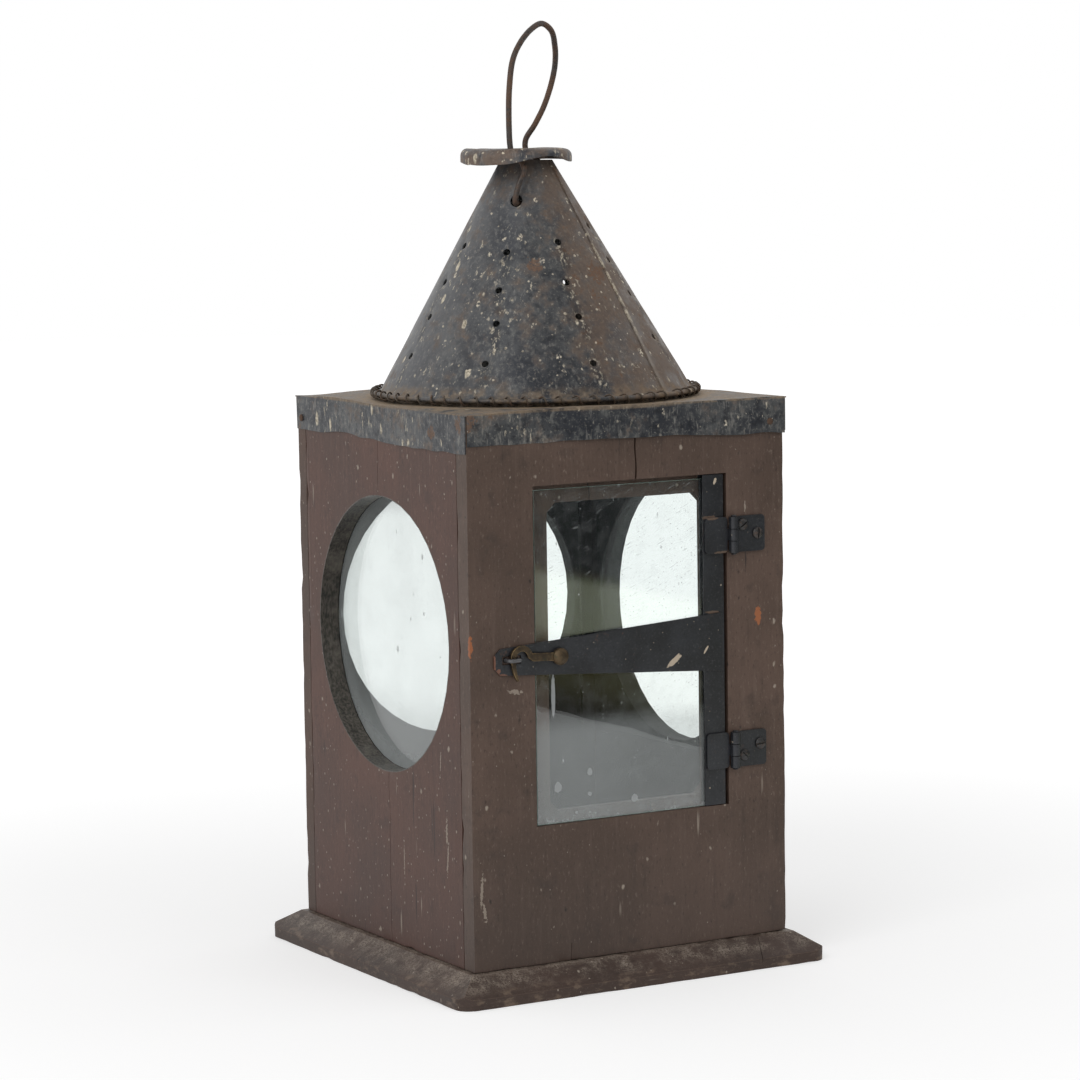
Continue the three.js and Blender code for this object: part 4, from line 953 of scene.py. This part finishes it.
every_vent = [(angle + side, height) for side in (0, 180) for angle, height in vents]
vent_places = [on_cone(*vent) for vent in every_vent]
run_ends = []
for i, (angle, height) in enumerate(every_vent):
    below = max(3, height - 9 - 14 * abs(noise.noise(Vector((i * 1.7, 0.3, 0)))))
    run_ends.append(on_cone(angle + 1.5, below))
vent_marks = guide("vent_marks", vent_places)
run_edges = [(i, i + len(every_vent)) for i in range(len(every_vent))]
run_marks = guide("run_marks", vent_places + run_ends, run_edges)

cone = Maker(
    "chimney_sheet", around=320, up=110, seam=math.radians(seam_angle), dent=1.0 * mm,
    dimple=0.6 * mm, vents=vent_marks, runs=run_marks,
)
grid = cone.add("GeometryNodeMeshGrid", {}, [1.0, 1.0, cone.around, cone.up])
across_sheet, up_sheet, _ = cone.add("GeometryNodeInputPosition").parts()
share = (up_sheet + 0.5) ** row_crowding
height = share * (cone_height * mm)
whole_turn = 2 * math.pi + math.radians(tail)
turned = (across_sheet + 0.5) * whole_turn
wall = (foot_radius + cone_fall * foot_height) * mm - height * cone_fall
flange = hem_radius * mm - height * (1 / math.tan(flange_slope))
lap = (turned * (-180 / math.pi / seam_ease) + 1).most(0) * (lap_lift * mm)
radius = wall.most(flange) + lap
slant = (share - 0.5) * row_slant
by_seam = turned.least(whole_turn - turned) * (1 / seam_reach)
angle = turned + cone.seam + slant * (1 - by_seam.least(1))
cosine, sine = angle.sums("COSINE", angle), angle.sums("SINE", angle)
smooth_place = cone.vector(
    radius * cosine + height * (cone_lean[0] / cone_height),
    radius * sine + height * (cone_lean[1] / cone_height), height + hem.z,
)
way_out = cone.vector(cosine, sine, cone_fall)
beaten = cone.bumps(smooth_place, 19.0, 2.0)
near_hole = cone.near("POINTS", cone.vents, smooth_place)
near_run = cone.near("EDGES", cone.runs, smooth_place)
push = (beaten - 0.5) * cone.dent * share.rise(0, 0.12)
push = push - near_hole.rise(5.5 * mm, 1.2 * mm) * cone.dimple
moved = cone.move("ADD", smooth_place, cone.move("SCALE", way_out, scale=push))
marked = cone.store(grid, "drip", near_run.rise(4.2 * mm, 0.6 * mm))
marked = cone.store(marked, "lap", turned.rise(math.radians(2.4), math.radians(1.2)))
shell = cone.add("GeometryNodeSetPosition", {}, {"Geometry": marked, "Position": moved})
cone_tin = tin_finish("cone_tin", 0.46, 0.85, 6.0, 1.2, 1.0, [
    ((-22, -40, 372), (4, 6, 4)), ((12, -42, 366), (6, 9, 6)), ((26, -34, 352), (5, 8, 7)),
], cone=True, hemmed=True)
cone_sheet = thicken(cone.make(shell, cone_tin), sheet)
bpy.data.objects.remove(run_marks)

# The two larger holes that the bail hooks into, on a line just beside the cone's axis
bail_rise, bail_hole = 101.3, 3.25
bail_angle = math.radians(-130.9)
bail_axis = Vector((math.cos(bail_angle), math.sin(bail_angle), 0))
bail_side = Vector((-bail_axis.y, bail_axis.x, 0))
bail_offset = (-0.8, 0.5)
bail_middle = Vector((cone_lean[0] * bail_rise / cone_height + bail_offset[0],
                      cone_lean[1] * bail_rise / cone_height + bail_offset[1], 0)) * mm + hem
bail_reach = (foot_radius - cone_fall * (bail_rise - foot_height)) * mm
bail_marks = guide("bail_marks", [
    (bail_middle + bail_axis * bail_reach * end + Vector((0, 0, bail_rise * mm)), bail_axis * end)
    for end in (1, -1)
])
cone_sheet = pierce(cone_sheet, vent_marks, 1.95, 8, cone_tin, 12)
cone_sheet = pierce(cone_sheet, bail_marks, bail_hole, 14, cone_tin, 20)


def along_wire(tree, path, radius, sides=12):
    """Round wire along the edges of a guide, with flat ends."""
    line = tree.add("GeometryNodeMeshToCurve", {}, [tree.shape(path)])
    ring = tree.add("GeometryNodeCurvePrimitiveCircle", {}, {"Resolution": sides, "Radius": radius})
    return tree.add("GeometryNodeCurveToMesh", {}, {
        "Curve": line, "Profile Curve": ring, "Fill Caps": True,
    })


def line_guide(name, points):
    """A guide whose points, in metres, are joined in a row."""
    joined = [(i, i + 1) for i in range(len(points) - 1)]
    return guide(name, [(point, (0, 0, 1)) for point in points], joined)


def on_ring(radius, angle, height=0.0):
    """A place round the middle of the hem, in millimetres from it."""
    return hem + Vector((radius * math.cos(angle), radius * math.sin(angle), height)) * mm


rim_steps = 300
rim = line_guide("hem_line", [
    on_ring(hem_radius, 2 * math.pi * i / rim_steps) for i in range(rim_steps + 1)
])
roll = Maker("hem_roll", path=rim, roll_radius=1.2 * mm, roughness=0.25 * mm)
bead = along_wire(roll, roll.path, roll.roll_radius)
bumps = roll.bumps(roll.add("GeometryNodeInputPosition"), 170.0, 1.0, "Color")
bumps = roll.move("SCALE", roll.move("SUBTRACT", bumps, (0.5, 0.5, 0.5)), scale=roll.roughness)
bead = roll.shift(bead, bumps)
whole_cone = bmesh.new()
whole_cone.from_mesh(cone_sheet)
whole_cone.from_mesh(roll.make(bead, cone_tin))
place_piece(whole_cone, "pierced_cone", "case", "dark_tin", cone_tin, "chimney_cone", smooth=40)
bpy.data.objects.remove(rim)


# Lacing: one thin iron wire wound sixty times round the hem and through the flange, by hand, so
# that the turns lean and crowd a little.
def iron_finish(name, dark, light, rust, seed, pitch=1.6):
    """Old iron wire or a nail: dark scale with brown rust."""
    iron = Finish(name)
    fine = iron.grain(pitch, 4, 0.6, seed=seed)
    wide = iron.grain(pitch * 8, 3, seed=seed + 4)
    rusty = (fine * 0.6 + wide * 0.6 + rust - 1.0).rise(-0.12, 0.16)
    colour = iron.mix(fine, dark, light)
    colour = iron.mix(rusty, colour, iron.mix(wide, shade(58, 44, 37), shade(112, 86, 68)))
    pits = iron.specks(2.2, 0.05, 0.2, seed, chance=0.3)
    colour = iron.mix(pits * 0.6, colour, shade(26, 24, 23))
    relief = fine + rusty * 0.4 - pits * 0.5
    surface = iron.surface(colour, rusty * 0.3 + 0.38, relief, 0.22, Metallic=0.45)
    return iron.close(surface, shade(80, 66, 56))


rusty_wire = iron_finish("rusty_wire", shade(42, 39, 38), shade(84, 78, 74), 0.42, 3.0)
lacing_wire = iron_finish("lacing_wire", shade(40, 38, 37), shade(110, 98, 84), 0.35, 8.0, 1.0)
turns, steps, winding, wire_radius, slack = 60, 16, 2.3, 0.5, 0.55
first_turn, laced_angle = seam_angle + 2, 356
wound = []
for i in range(turns * steps + 1):
    turn = 2 * math.pi * i / steps
    hand = noise.noise_vector(Vector((i / steps * 0.8, 5, 1)))
    share = (i / steps + slack * math.sin(turn) / (2 * math.pi) + hand.x * 0.12) / turns
    angle = math.radians(first_turn + laced_angle * share)
    reach = winding * (0.94 + 0.1 * hand.y)
    wound.append(on_ring(hem_radius - reach * math.cos(turn), angle, reach * math.sin(turn)))
wound_line = line_guide("wound_line", wound)
lace = Maker("lacing", path=wound_line, wire_radius=wire_radius * mm)
place_piece(
    lace.make(along_wire(lace, lace.path, lace.wire_radius, 8), lacing_wire),
    "wound_lacing", "case", "rusty_wire", lacing_wire, "lacing_wire", smooth=60,
)
bpy.data.objects.remove(wound_line)


# Bail: heavy drawn wire, kinked by hand under the smoke cap and bent to a leaning loop above it.
# Its ends hook through the two larger holes of the chimney.
def hand_bent(points, per_span):
    """Points along an even curve through the given ones, as wire bends between them."""
    points = [points[0] * 2 - points[1]] + points + [points[-1] * 2 - points[-2]]
    bent = []
    for a, b, c, d in zip(points, points[1:], points[2:], points[3:]):
        ab, bc, cd = (math.sqrt((q - p).length) for p, q in ((a, b), (b, c), (c, d)))
        leave = ((b - a) / ab - (c - a) / (ab + bc) + (c - b) / bc) * bc
        arrive = ((c - b) / bc - (d - b) / (bc + cd) + (d - c) / cd) * bc
        for i in range(per_span):
            t = i / per_span
            bent.append(
                b * (2 * t ** 3 - 3 * t ** 2 + 1) + c * (3 * t ** 2 - 2 * t ** 3)
                + leave * (t ** 3 - 2 * t ** 2 + t) + arrive * (t ** 3 - t ** 2)
            )
    return bent + [points[-2]]


bail_radius, leg, leg_shift, loop_height = 1.6, 20.0, -4.1, 65.6
cap_underside = cone_height + 5.3
crown = cap_underside + 0.8
hole_out = bail_reach / mm
elbow = hole_out + 3.4
rest = bail_rise - (bail_hole - bail_radius - 0.3)


def leg_points(end):
    """One leg, from inside its hole up to the smoke cap: along the bail, across it, and up."""
    return [
        (end * (hole_out - 8), 0, rest), (end * (hole_out - 2), 0, rest),
        (end * (elbow - 1.5), 0, rest + 0.2), (end * elbow, 0.2, rest + 2.6),
        (end * (elbow - 1), 1.6, rest + 9), (end * (leg + 4), 4, cap_underside - 9.8),
        (end * (leg + 1.6), 1.6, cap_underside - 5),
        (end * (leg + 0.2), leg_shift + 0.9, cap_underside - 1.2),
    ]


# The loop from one leg to the other: along the bail, across it, and up as a share of its height
loop = [
    (leg, leg_shift, 0.03), (leg + 2, leg_shift, 0.27), (leg + 3.5, -3.3, 0.486),
    (leg + 0.5, -1.8, 0.71), (leg * 0.72, 1.6, 0.857), (leg * 0.33, 6.4, 0.965), (0, 10.2, 1),
    (-leg * 0.33, 13.8, 0.944), (-leg * 0.72, 14.2, 0.817), (-leg, 13.1, 0.684),
    (-leg - 3, 10.5, 0.532), (-leg - 2.5, 6.6, 0.354), (-leg - 1, 1.5, 0.194),
    (-leg, leg_shift + 0.5, 0.066),
]
bends = leg_points(1) + [(a, b, crown + loop_height * up) for a, b, up in loop] + leg_points(-1)[::-1]


def on_bail(along, side, up):
    """A place from the bail's middle: along it, across it, and up, in millimetres."""
    return (bail_axis * along + bail_side * side + Vector((0, 0, up))) * mm + bail_middle


bail_line = line_guide("bail_line", hand_bent([on_bail(*bend) for bend in bends], 8))
wire = (bail_radius - 0.03) * mm
drawn = Maker("bail", path=bail_line, wire_radius=wire, sides=16, pitting=0.18 * mm)
rod = along_wire(drawn, drawn.path, drawn.wire_radius, drawn.sides)
pitted = drawn.bumps(drawn.add("GeometryNodeInputPosition"), 260.0, 2.0) - 0.56
pitted = drawn.move(
    "SCALE", drawn.add("GeometryNodeInputNormal"), scale=pitted * drawn.pitting
)
rod = drawn.shift(rod, pitted)
place_piece(
    drawn.make(rod, rusty_wire), "drawn_bail", "bail", "rusty_wire", rusty_wire, "bail_wire", smooth=60,
)
bpy.data.objects.remove(bail_line)


# Smoke cap: a shallow tin pan upside down on the bail's legs, its rim beaten uneven and bent up
# along one stretch.
def spun(profile, sides):
    """A mesh turned about +Z from radius and height in millimetres."""
    mesh = bmesh.new()
    rings = []
    for radius, height in profile:
        count = 1 if radius == 0 else sides
        turns = [2 * math.pi * i / count for i in range(count)]
        rings.append([
            mesh.verts.new(Vector((radius * math.cos(turn), radius * math.sin(turn), height)) * mm)
            for turn in turns
        ])
    for one, two in zip(rings, rings[1:]):
        for i in range(sides):
            j = (i + 1) % sides
            corners = [one[i % len(one)], two[i % len(two)], two[j % len(two)], one[j % len(one)]]
            mesh.faces.new(list(dict.fromkeys(corners)))
    bmesh.ops.recalc_face_normals(mesh, faces=mesh.faces)
    return mesh


def arc(centre, radius, start, end, steps):
    """Points of a profile along an arc, angles in degrees."""
    angles = [math.radians(start + (end - start) * i / steps) for i in range(steps + 1)]
    return [(centre[0] + radius * math.cos(a), centre[1] + radius * math.sin(a)) for a in angles]


pan_radius, pan_sheet, pan_rim, shoulder = 29.7, 0.8, 7.2, 4.0


def pan_skin(inset):
    """One side of the sheet in profile: its flat top, its shoulder, and down its rim."""
    top = [(pan_radius * i / 15, -inset) for i in range(13)]
    turned = arc((pan_radius - shoulder, -shoulder), shoulder - inset, 90, 0, 6)
    fall = pan_rim - 0.3 - shoulder
    return top + turned + [(pan_radius - inset, -shoulder - fall * i / 4) for i in range(1, 5)]


# The stretch that is bent up: where it is, how far round it goes, and by how much. The side
# at `tip_at` hangs a little lower.
bend_at, bend_spread, bend_lift = math.radians(-85), 0.42, 3.8
tip_at, tip_fall = math.radians(-140), 0.9
lip = [(pan_radius - 0.2, -pan_rim), (pan_radius - pan_sheet + 0.2, -pan_rim)]
pan = spun(pan_skin(0) + lip + pan_skin(pan_sheet)[::-1], 120)
for vert in pan.verts:
    flat = Vector((vert.co.x, vert.co.y, 0))
    around = math.atan2(vert.co.y, vert.co.x)
    outwards = max(0, flat.length / (pan_radius * mm) - 0.62) / 0.38
    down = -vert.co.z / (pan_rim * mm)
    bent_up = bend_lift * math.exp(-(((around - bend_at) / bend_spread) ** 2))
    wave = 0.35 * math.sin(3 * around + 0.6) + 0.25 * math.sin(5 * around)
    beaten = noise.noise(Vector((around * 2.4, flat.length * 40, 2))) * 0.55
    tipped = tip_fall * math.cos(around - tip_at)
    lift = outwards * (wave + beaten) + down * (bent_up - tipped)
    pulled = 1 + 0.012 * down * noise.noise(Vector((around * 3, 4, 0)))
    vert.co = Vector((vert.co.x * pulled, vert.co.y * pulled, vert.co.z + lift * mm))
bmesh.ops.translate(pan, verts=pan.verts, vec=on_bail(0, leg_shift - 0.8, crown))
leg_holes = guide("leg_holes", [
    (on_bail(leg * end, leg_shift + slot, crown), (0, 0, 1))
    for end, slot in ((1, 0), (-1, 0), (-1, 1.3), (-1, 2.6))
])
smoke_tin = tin_finish("smoke_tin", 0.7, 2.0, 14.0, 1.4)
pan_mesh = pierce(as_data("pan", pan), leg_holes, 2.7, 9, smoke_tin, 24, True)
place_piece(
    pan_mesh, "beaten_smoke_cap", "smoke_cap", "dark_tin", smoke_tin, "smoke_cap", smooth=50,
)


# Door: a tin stile folded round the glass, a tapered hasp across it, and two butt hinges, all
# black, with rust where hands and the latch have rubbed.
def metal_sheet(node, body, slot, material, width, bend, pitch=5.5, segments=2):
    """A metal piece with its edges eased and its faces not quite flat."""
    mesh = whole_node(node)
    ease(mesh, width, segments)
    low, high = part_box(node)
    slice_up(mesh, pitch, low, high)
    for vert in mesh.verts:
        vert.co += noise.noise_vector(vert.co * 34 + Vector((1, 5, 2))) * bend * mm
    place_piece(mesh, f"eased_{node}", body, slot, material, node)


def black_tin(name, scratches, rust_marks, seed, fresh):
    """Blackened tin: nearly black, dusty, rusty at the edges, with pale scratches. `fresh` is
    how red its open rust is."""
    tin = Finish(name)
    wide = tin.grain(22, 3, seed=seed)
    fine = tin.grain(1.4, 4, 0.6, seed=seed + 2)
    colour = tin.mix(wide.rise(0.3, 0.7), shade(28, 29, 33), shade(43, 45, 50))
    colour = tin.mix(fine.rise(0.55, 0.78) * 0.55, colour, shade(80, 80, 82))
    colour = tin.mix(fine.rise(0.45, 0.28) * 0.55, colour, shade(16, 17, 20))
    worn = tin.stored("arris") * 0.7 + tin.grain(2.6, 4, seed=seed + 5) * 0.9
    edge = (worn - 1.12).rise(0, 0.14)
    colour = tin.mix(edge * 0.8, colour, shade(118, 84, 66))
    rust = tin.grain(6, 5, 0.65, seed=seed + 7).rise(0.62, 0.74) * 0.55
    colour = tin.mix(rust, colour, tin.mix(fine, shade(66, 50, 42), shade(112, 82, 64)))
    red = tin.mix(fine, shade(96, 62, 48), shade(150, 100, 78))
    brown = tin.mix(fine, shade(80, 68, 58), shade(124, 108, 92))
    open_rust = tin.marks(rust_marks, 0.7, 1.8)
    colour = tin.mix(open_rust * 0.85, colour, tin.mix(fresh, brown, red))
    fine_specks = tin.specks(1.9, 0.04, 0.16, seed + 3, chance=0.1)
    pale = tin.specks(4, 0.02, 0.12, seed, chance=0.2).most(fine_specks) * 0.7
    pale = pale.most(tin.marks(scratches, 0.45, 1.4))
    colour = tin.mix(pale * 0.85, colour, shade(206, 190, 168))
    dust = tin.grain(0.8, 3, seed=seed + 9).rise(0.55, 0.8) * 0.25
    colour = tin.mix(dust, colour, shade(96, 94, 92))
    rough = 0.34 + rust * 0.3 + pale * 0.3 + edge * 0.25 + fine * 0.1
    relief = fine * 0.3 + rust * 0.5 + pale * 0.3 - edge * 0.2
    surface = tin.surface(colour, rough.least(0.95), relief, 0.22, Metallic=0.15)
    return tin.close(surface, shade(48, 48, 50))


hasp_tin = black_tin("hasp_tin", [
    ((26, -96.1, 166.2), (1.5, 2, 5.2), (0, 52, 0)),
    ((45.6, -96.1, 170.5), (0.6, 2, 2.6), (0, 35, 0)),
], [
    ((-81.5, -96, 173.5), (0.9, 2, 5)), ((-79.5, -96, 169), (2.2, 2, 1.3), (0, -40, 0)),
    ((-77, -96, 167.2), (3, 2, 0.8)),
], 3.0, 0.9)
stile_tin = black_tin("stile_tin", [
    ((52.6, -95, 258.6), (0.8, 2, 1.8), (0, 20, 0)), ((46.4, -95, 232), (0.5, 2, 4)),
], [
    ((49, -95, 239.6), (4.5, 2, 0.9)), ((51, -95, 189.6), (4.5, 2, 0.8), (0, 4, 0)),
], 7.0, 0.15)
hinge_tin = black_tin("hinge_tin", [
    ((60.3, -96.5, 236), (0.5, 2, 1)), ((62.6, -98, 120), (0.7, 2, 1)),
], [
    ((50, -96.5, 239.2), (4, 2, 0.8)), ((56, -96.5, 221), (5, 2, 0.7)),
], 11.0, 0.15)
metal_sheet("door_stile", "door", "dark_tin", stile_tin, 0.16, 0.1)
metal_sheet("door_hasp", "door", "dark_tin", hasp_tin, 0.14, 0.14)
for rank in ("upper", "lower"):
    metal_sheet(f"{rank}_hinge_case_leaf", "case", "dark_tin", hinge_tin, 0.2, 0.06, 4)
    metal_sheet(f"{rank}_hinge_door_leaf", "door", "dark_tin", hinge_tin, 0.2, 0.06, 4)
    dress(f"{rank}_hinge_pin", hinge_tin)


# Latch: a grey wire staple in the board, and a cut brass hook that turns on a domed rivet. The
# brass has gone brown, and shines only where it is handled.
def old_brass(name, seed):
    brass = Finish(name)
    fine = brass.grain(1.1, 4, 0.6, seed=seed)
    wide = brass.grain(7, 4, seed=seed + 2)
    colour = brass.mix(wide.rise(0.35, 0.68), shade(62, 53, 43), shade(92, 77, 57))
    colour = brass.mix(fine.rise(0.5, 0.8) * 0.6, colour, shade(114, 97, 72))
    green = brass.grain(3, 4, seed=seed + 5).rise(0.6, 0.75)
    colour = brass.mix(green * 0.35, colour, shade(74, 82, 66))
    worn = brass.stored("arris") * brass.grain(4, 2, seed=seed + 9).rise(0.4, 0.6)
    colour = brass.mix(worn * 0.7, colour, shade(164, 136, 92))
    pits = brass.specks(1.8, 0.05, 0.2, seed, chance=0.35)
    colour = brass.mix(pits * 0.6, colour, shade(36, 31, 26))
    rough = 0.46 + green * 0.2 - worn * 0.18 + fine * 0.1
    relief = fine * 0.5 + wide * 0.3 - pits * 0.6
    surface = brass.surface(colour, rough, relief, 0.2, Metallic=0.75)
    return brass.close(surface, shade(104, 86, 60))


hook_brass = old_brass("hook_brass", 2.0)
metal_sheet("latch_hook", "hook", "old_brass", hook_brass, 0.4, 0.05, 2.2, 3)
stud_top, stud_foot = 4.4, -1.65
stud = spun([
    (0, stud_top), (1.2, 4.36), (2.3, 4.1), (3.2, 3.7), (3.9, 3.1), (4.35, 2.5), (4.5, 2.1),
    (4.5, 2.0), (1.4, 2.0), (1.4, -0.9), (2.8, -0.9), (2.8, -1.3), (1.4, -1.6), (0, stud_foot),
], 40)
low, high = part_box("hook_rivet")
fit = (high.y - low.y) / ((stud_top - stud_foot) * mm)
for vert in stud.verts:
    beat = noise.noise(vert.co * 420) * 0.09 * mm
    vert.co = Vector((
        (low.x + high.x) / 2 + vert.co.x,
        low.y + (stud_top * mm - vert.co.z) * fit + abs(beat), (low.z + high.z) / 2 + vert.co.y,
    ))
bmesh.ops.recalc_face_normals(stud, faces=stud.faces)
place_piece(stud, "domed_rivet", "door", "old_brass", hook_brass, "hook_rivet", smooth=45)

grey_iron = iron_finish("grey_iron", shade(66, 66, 68), shade(120, 120, 122), 0.32, 5.0, 1.2)
low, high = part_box("latch_staple")
staple_radius, staple_half = 1.05, 3.25
middle = (low + high) / 2
bar, corner = low.y / mm + staple_radius, staple_radius * 1.3
bent = [(-staple_half, high.y / mm)]
bent += arc((-staple_half + corner, bar + corner), corner, 180, 270, 6)
bent += [(-x, y) for x, y in bent[::-1]]
staple_line = line_guide("staple_line", [
    Vector((x * mm + middle.x, y * mm, middle.z)) for x, y in bent
])
staple = Maker("staple", path=staple_line, wire_radius=(staple_radius - 0.02) * mm)
place_piece(
    staple.make(along_wire(staple, staple.path, staple.wire_radius, 14), grey_iron),
    "bent_staple", "case", "grey_iron", grey_iron, "latch_staple", smooth=60,
)
bpy.data.objects.remove(staple_line)


# Screws, nails and brads: slotted round-headed screws in the hinges, domed nails in the cap's
# skirts, case nails sunk flush and painted over, and headless ones that stay as they are.
def repeated(name, head, spots, material, **cut):
    """One head at each spot, pointing along its way out, turned by its twist in degrees."""
    marks = guide(f"{name}_marks", [(place, way) for place, way, _ in spots])
    twist = marks.data.attributes.new("twist", "FLOAT", "POINT")
    twist.data.foreach_set("value", [math.radians(turned) for _, _, turned in spots])
    row = Maker(name, marks=marks, **cut)
    one = row.start
    if cut:
        # The slot of a screw
        bar = row.vector(0.02, row.slot_width, row.slot_depth * 2)
        one = row.cut(one, row.add("GeometryNodeMeshCube", {}, [bar]))
    own = row.add("GeometryNodeInputNamedAttribute", {"data_type": "FLOAT"}, ["twist"])
    pointed = row.add("FunctionNodeRotateRotation", {"rotation_space": "LOCAL"}, [
        row.along_way(), row.vector(0.0, 0.0, own),
    ])
    heads = row.at_marks(row.marks, one, pointed)
    made = row.make(heads, material, as_data(name, head))
    bpy.data.objects.remove(marks)
    return made


def head_places(ways, twists):
    """The middle of each node's outer face along its way out, that way, and its own twist."""
    spots = []
    for (node, way), twist in zip(ways.items(), twists):
        low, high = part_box(node)
        axis = max(range(3), key=lambda i: abs(way[i]))
        place = (low + high) / 2
        place[axis] = high[axis] if way[axis] > 0 else low[axis]
        spots.append((place, way, twist))
    return spots


screws = [f"hinge_screw_{i}" for i in range(1, 5)]
screw_head = spun([
    (0, 0), (0.9, -0.03), (1.8, -0.18), (2.5, -0.45), (2.95, -0.85), (3.08, -1.2), (3.05, -1.5),
    (1.5, -1.5), (1.5, -7.5), (0, -9.5),
], 32)
screw_iron = iron_finish("screw_iron", shade(34, 34, 36), shade(74, 73, 72), 0.3, 9.0, 1.2)
screw_places = head_places(dict.fromkeys(screws, (0, -1, 0)), (35, 85, 135, 185))
screw_mesh = repeated(
    "screws", screw_head, screw_places, screw_iron, slot_width=0.8 * mm, slot_depth=0.95 * mm,
)
place_piece(screw_mesh, "slotted_screws", "case", "grey_iron", screw_iron, *screws, smooth=40)

cap_nails = [f"cap_nail_{i}" for i in range(1, 5)]
ways = dict(zip(cap_nails, [(0, -1, 0), (-1, 0, 0), (1, 0, 0), (0, 1, 0)]))
nail_head = spun([
    (0, 0), (0.7, -0.05), (1.35, -0.25), (1.8, -0.55), (1.95, -0.8), (1.9, -0.9), (0.9, -0.95),
    (0.9, -5), (0, -6.4),
], 20)
rusty_nail = iron_finish("rusty_nail", shade(52, 46, 42), shade(96, 84, 74), 0.6, 12.0, 1.2)
nail_mesh = repeated("cap_nails", nail_head, head_places(ways, (0, 40, 80, 10)), rusty_nail)
place_piece(nail_mesh, "domed_cap_nails", "case", "rusty_nail", rusty_nail, *cap_nails, smooth=45)

for side, paint, way, numbers in [
    ("front", front_paint, -1, (1, 3, 5, 7)), ("back", back_paint, 1, (2, 4, 6, 8)),
]:
    sunk = [f"case_nail_{i}" for i in numbers]
    putty = spun([
        (0, 0.1), (1.2, 0.07), (2.0, 0.0), (2.6, -0.12), (2.0, -0.5), (0.9, -0.9), (0.9, -21),
        (0, -21.7),
    ], 24)
    spots = head_places(dict.fromkeys(sunk, (0, way, 0)), [0] * 4)
    putty_mesh = repeated(f"{side}_putty", putty, spots, paint)
    place_piece(putty_mesh, f"puttied_{side}_nails", "case", "rusty_nail", paint, *sunk, smooth=60)
kinds = {"base_nail": rusty_nail, "pan_nail": rusty_nail, "glazing_brad": grey_iron}
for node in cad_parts:
    kind = node.rsplit("_", 1)[0]
    if kind in kinds:
        dress(node, kinds[kind])


# Candle holder: a tin drip pan with a turned-out rim and a straight cup, nailed to the base. Dull
# and grey, with old wax.
dull_tin = Finish("dull_tin")
film = dull_tin.grain(14, 4, seed=2)
fine = dull_tin.grain(1.3, 4, seed=5)
wax = dull_tin.grain(6, 3, seed=9).rise(0.6, 0.68)
colour = dull_tin.mix(film.rise(0.35, 0.7), shade(70, 68, 64), shade(112, 108, 100))
colour = dull_tin.mix(fine.rise(0.6, 0.8) * 0.6, colour, shade(92, 72, 58))
colour = dull_tin.mix(wax * 0.7, colour, shade(176, 168, 146))
surface = dull_tin.surface(colour, film * 0.2 + 0.42, fine * 0.4 + wax, 0.35, Metallic=0.4)
dull_tin.close(surface, shade(96, 92, 86))
holder_sheet, cup_wall = 0.8, 12.3


def holder_part(node, profile, sides, pitch, bend):
    """A spun part of the holder, not quite true, that stands where its node does."""
    part = spun(profile, sides)
    bmesh.ops.translate(part, verts=part.verts, vec=(0, 0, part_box(node)[0].z))
    for vert in part.verts:
        vert.co += noise.noise_vector(vert.co * pitch) * bend * mm
    place_piece(part, f"spun_{node}", "case", "dull_tin", dull_tin.material, node, smooth=45)


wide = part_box("drip_pan")[1].x / mm
holder_part("drip_pan", [
    (0, 0), (10, 0), (20, 0), (wide - 4.4, 0), (wide - 3.7, 0.5), (wide - 1.7, 3.7),
    (wide - 1.4, 4), (wide - 0.3, 4), (wide, 4.3), (wide, 4.6), (wide - 0.3, 4.8),
    (wide - 1.9, 4.8), (wide - 4.2, 1.2), (wide - 4.9, holder_sheet), (20, holder_sheet),
    (10, holder_sheet), (0, holder_sheet),
], 84, 40, 0.15)
low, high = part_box("candle_cup")
tall = (high.z - low.z) / mm
inner = cup_wall - holder_sheet
holder_part("candle_cup", [
    (0, 0), (12, 0), (cup_wall, 0.3), (cup_wall, tall / 2), (cup_wall, tall - 1.6),
    (12.8, tall - 1), (14.0, tall - 1), (14.3, tall - 0.5), (14.0, tall), (12, tall),
    (inner, tall - 0.4), (inner, tall / 2), (inner, holder_sheet), (0, holder_sheet),
], 64, 50, 0.12)


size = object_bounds()
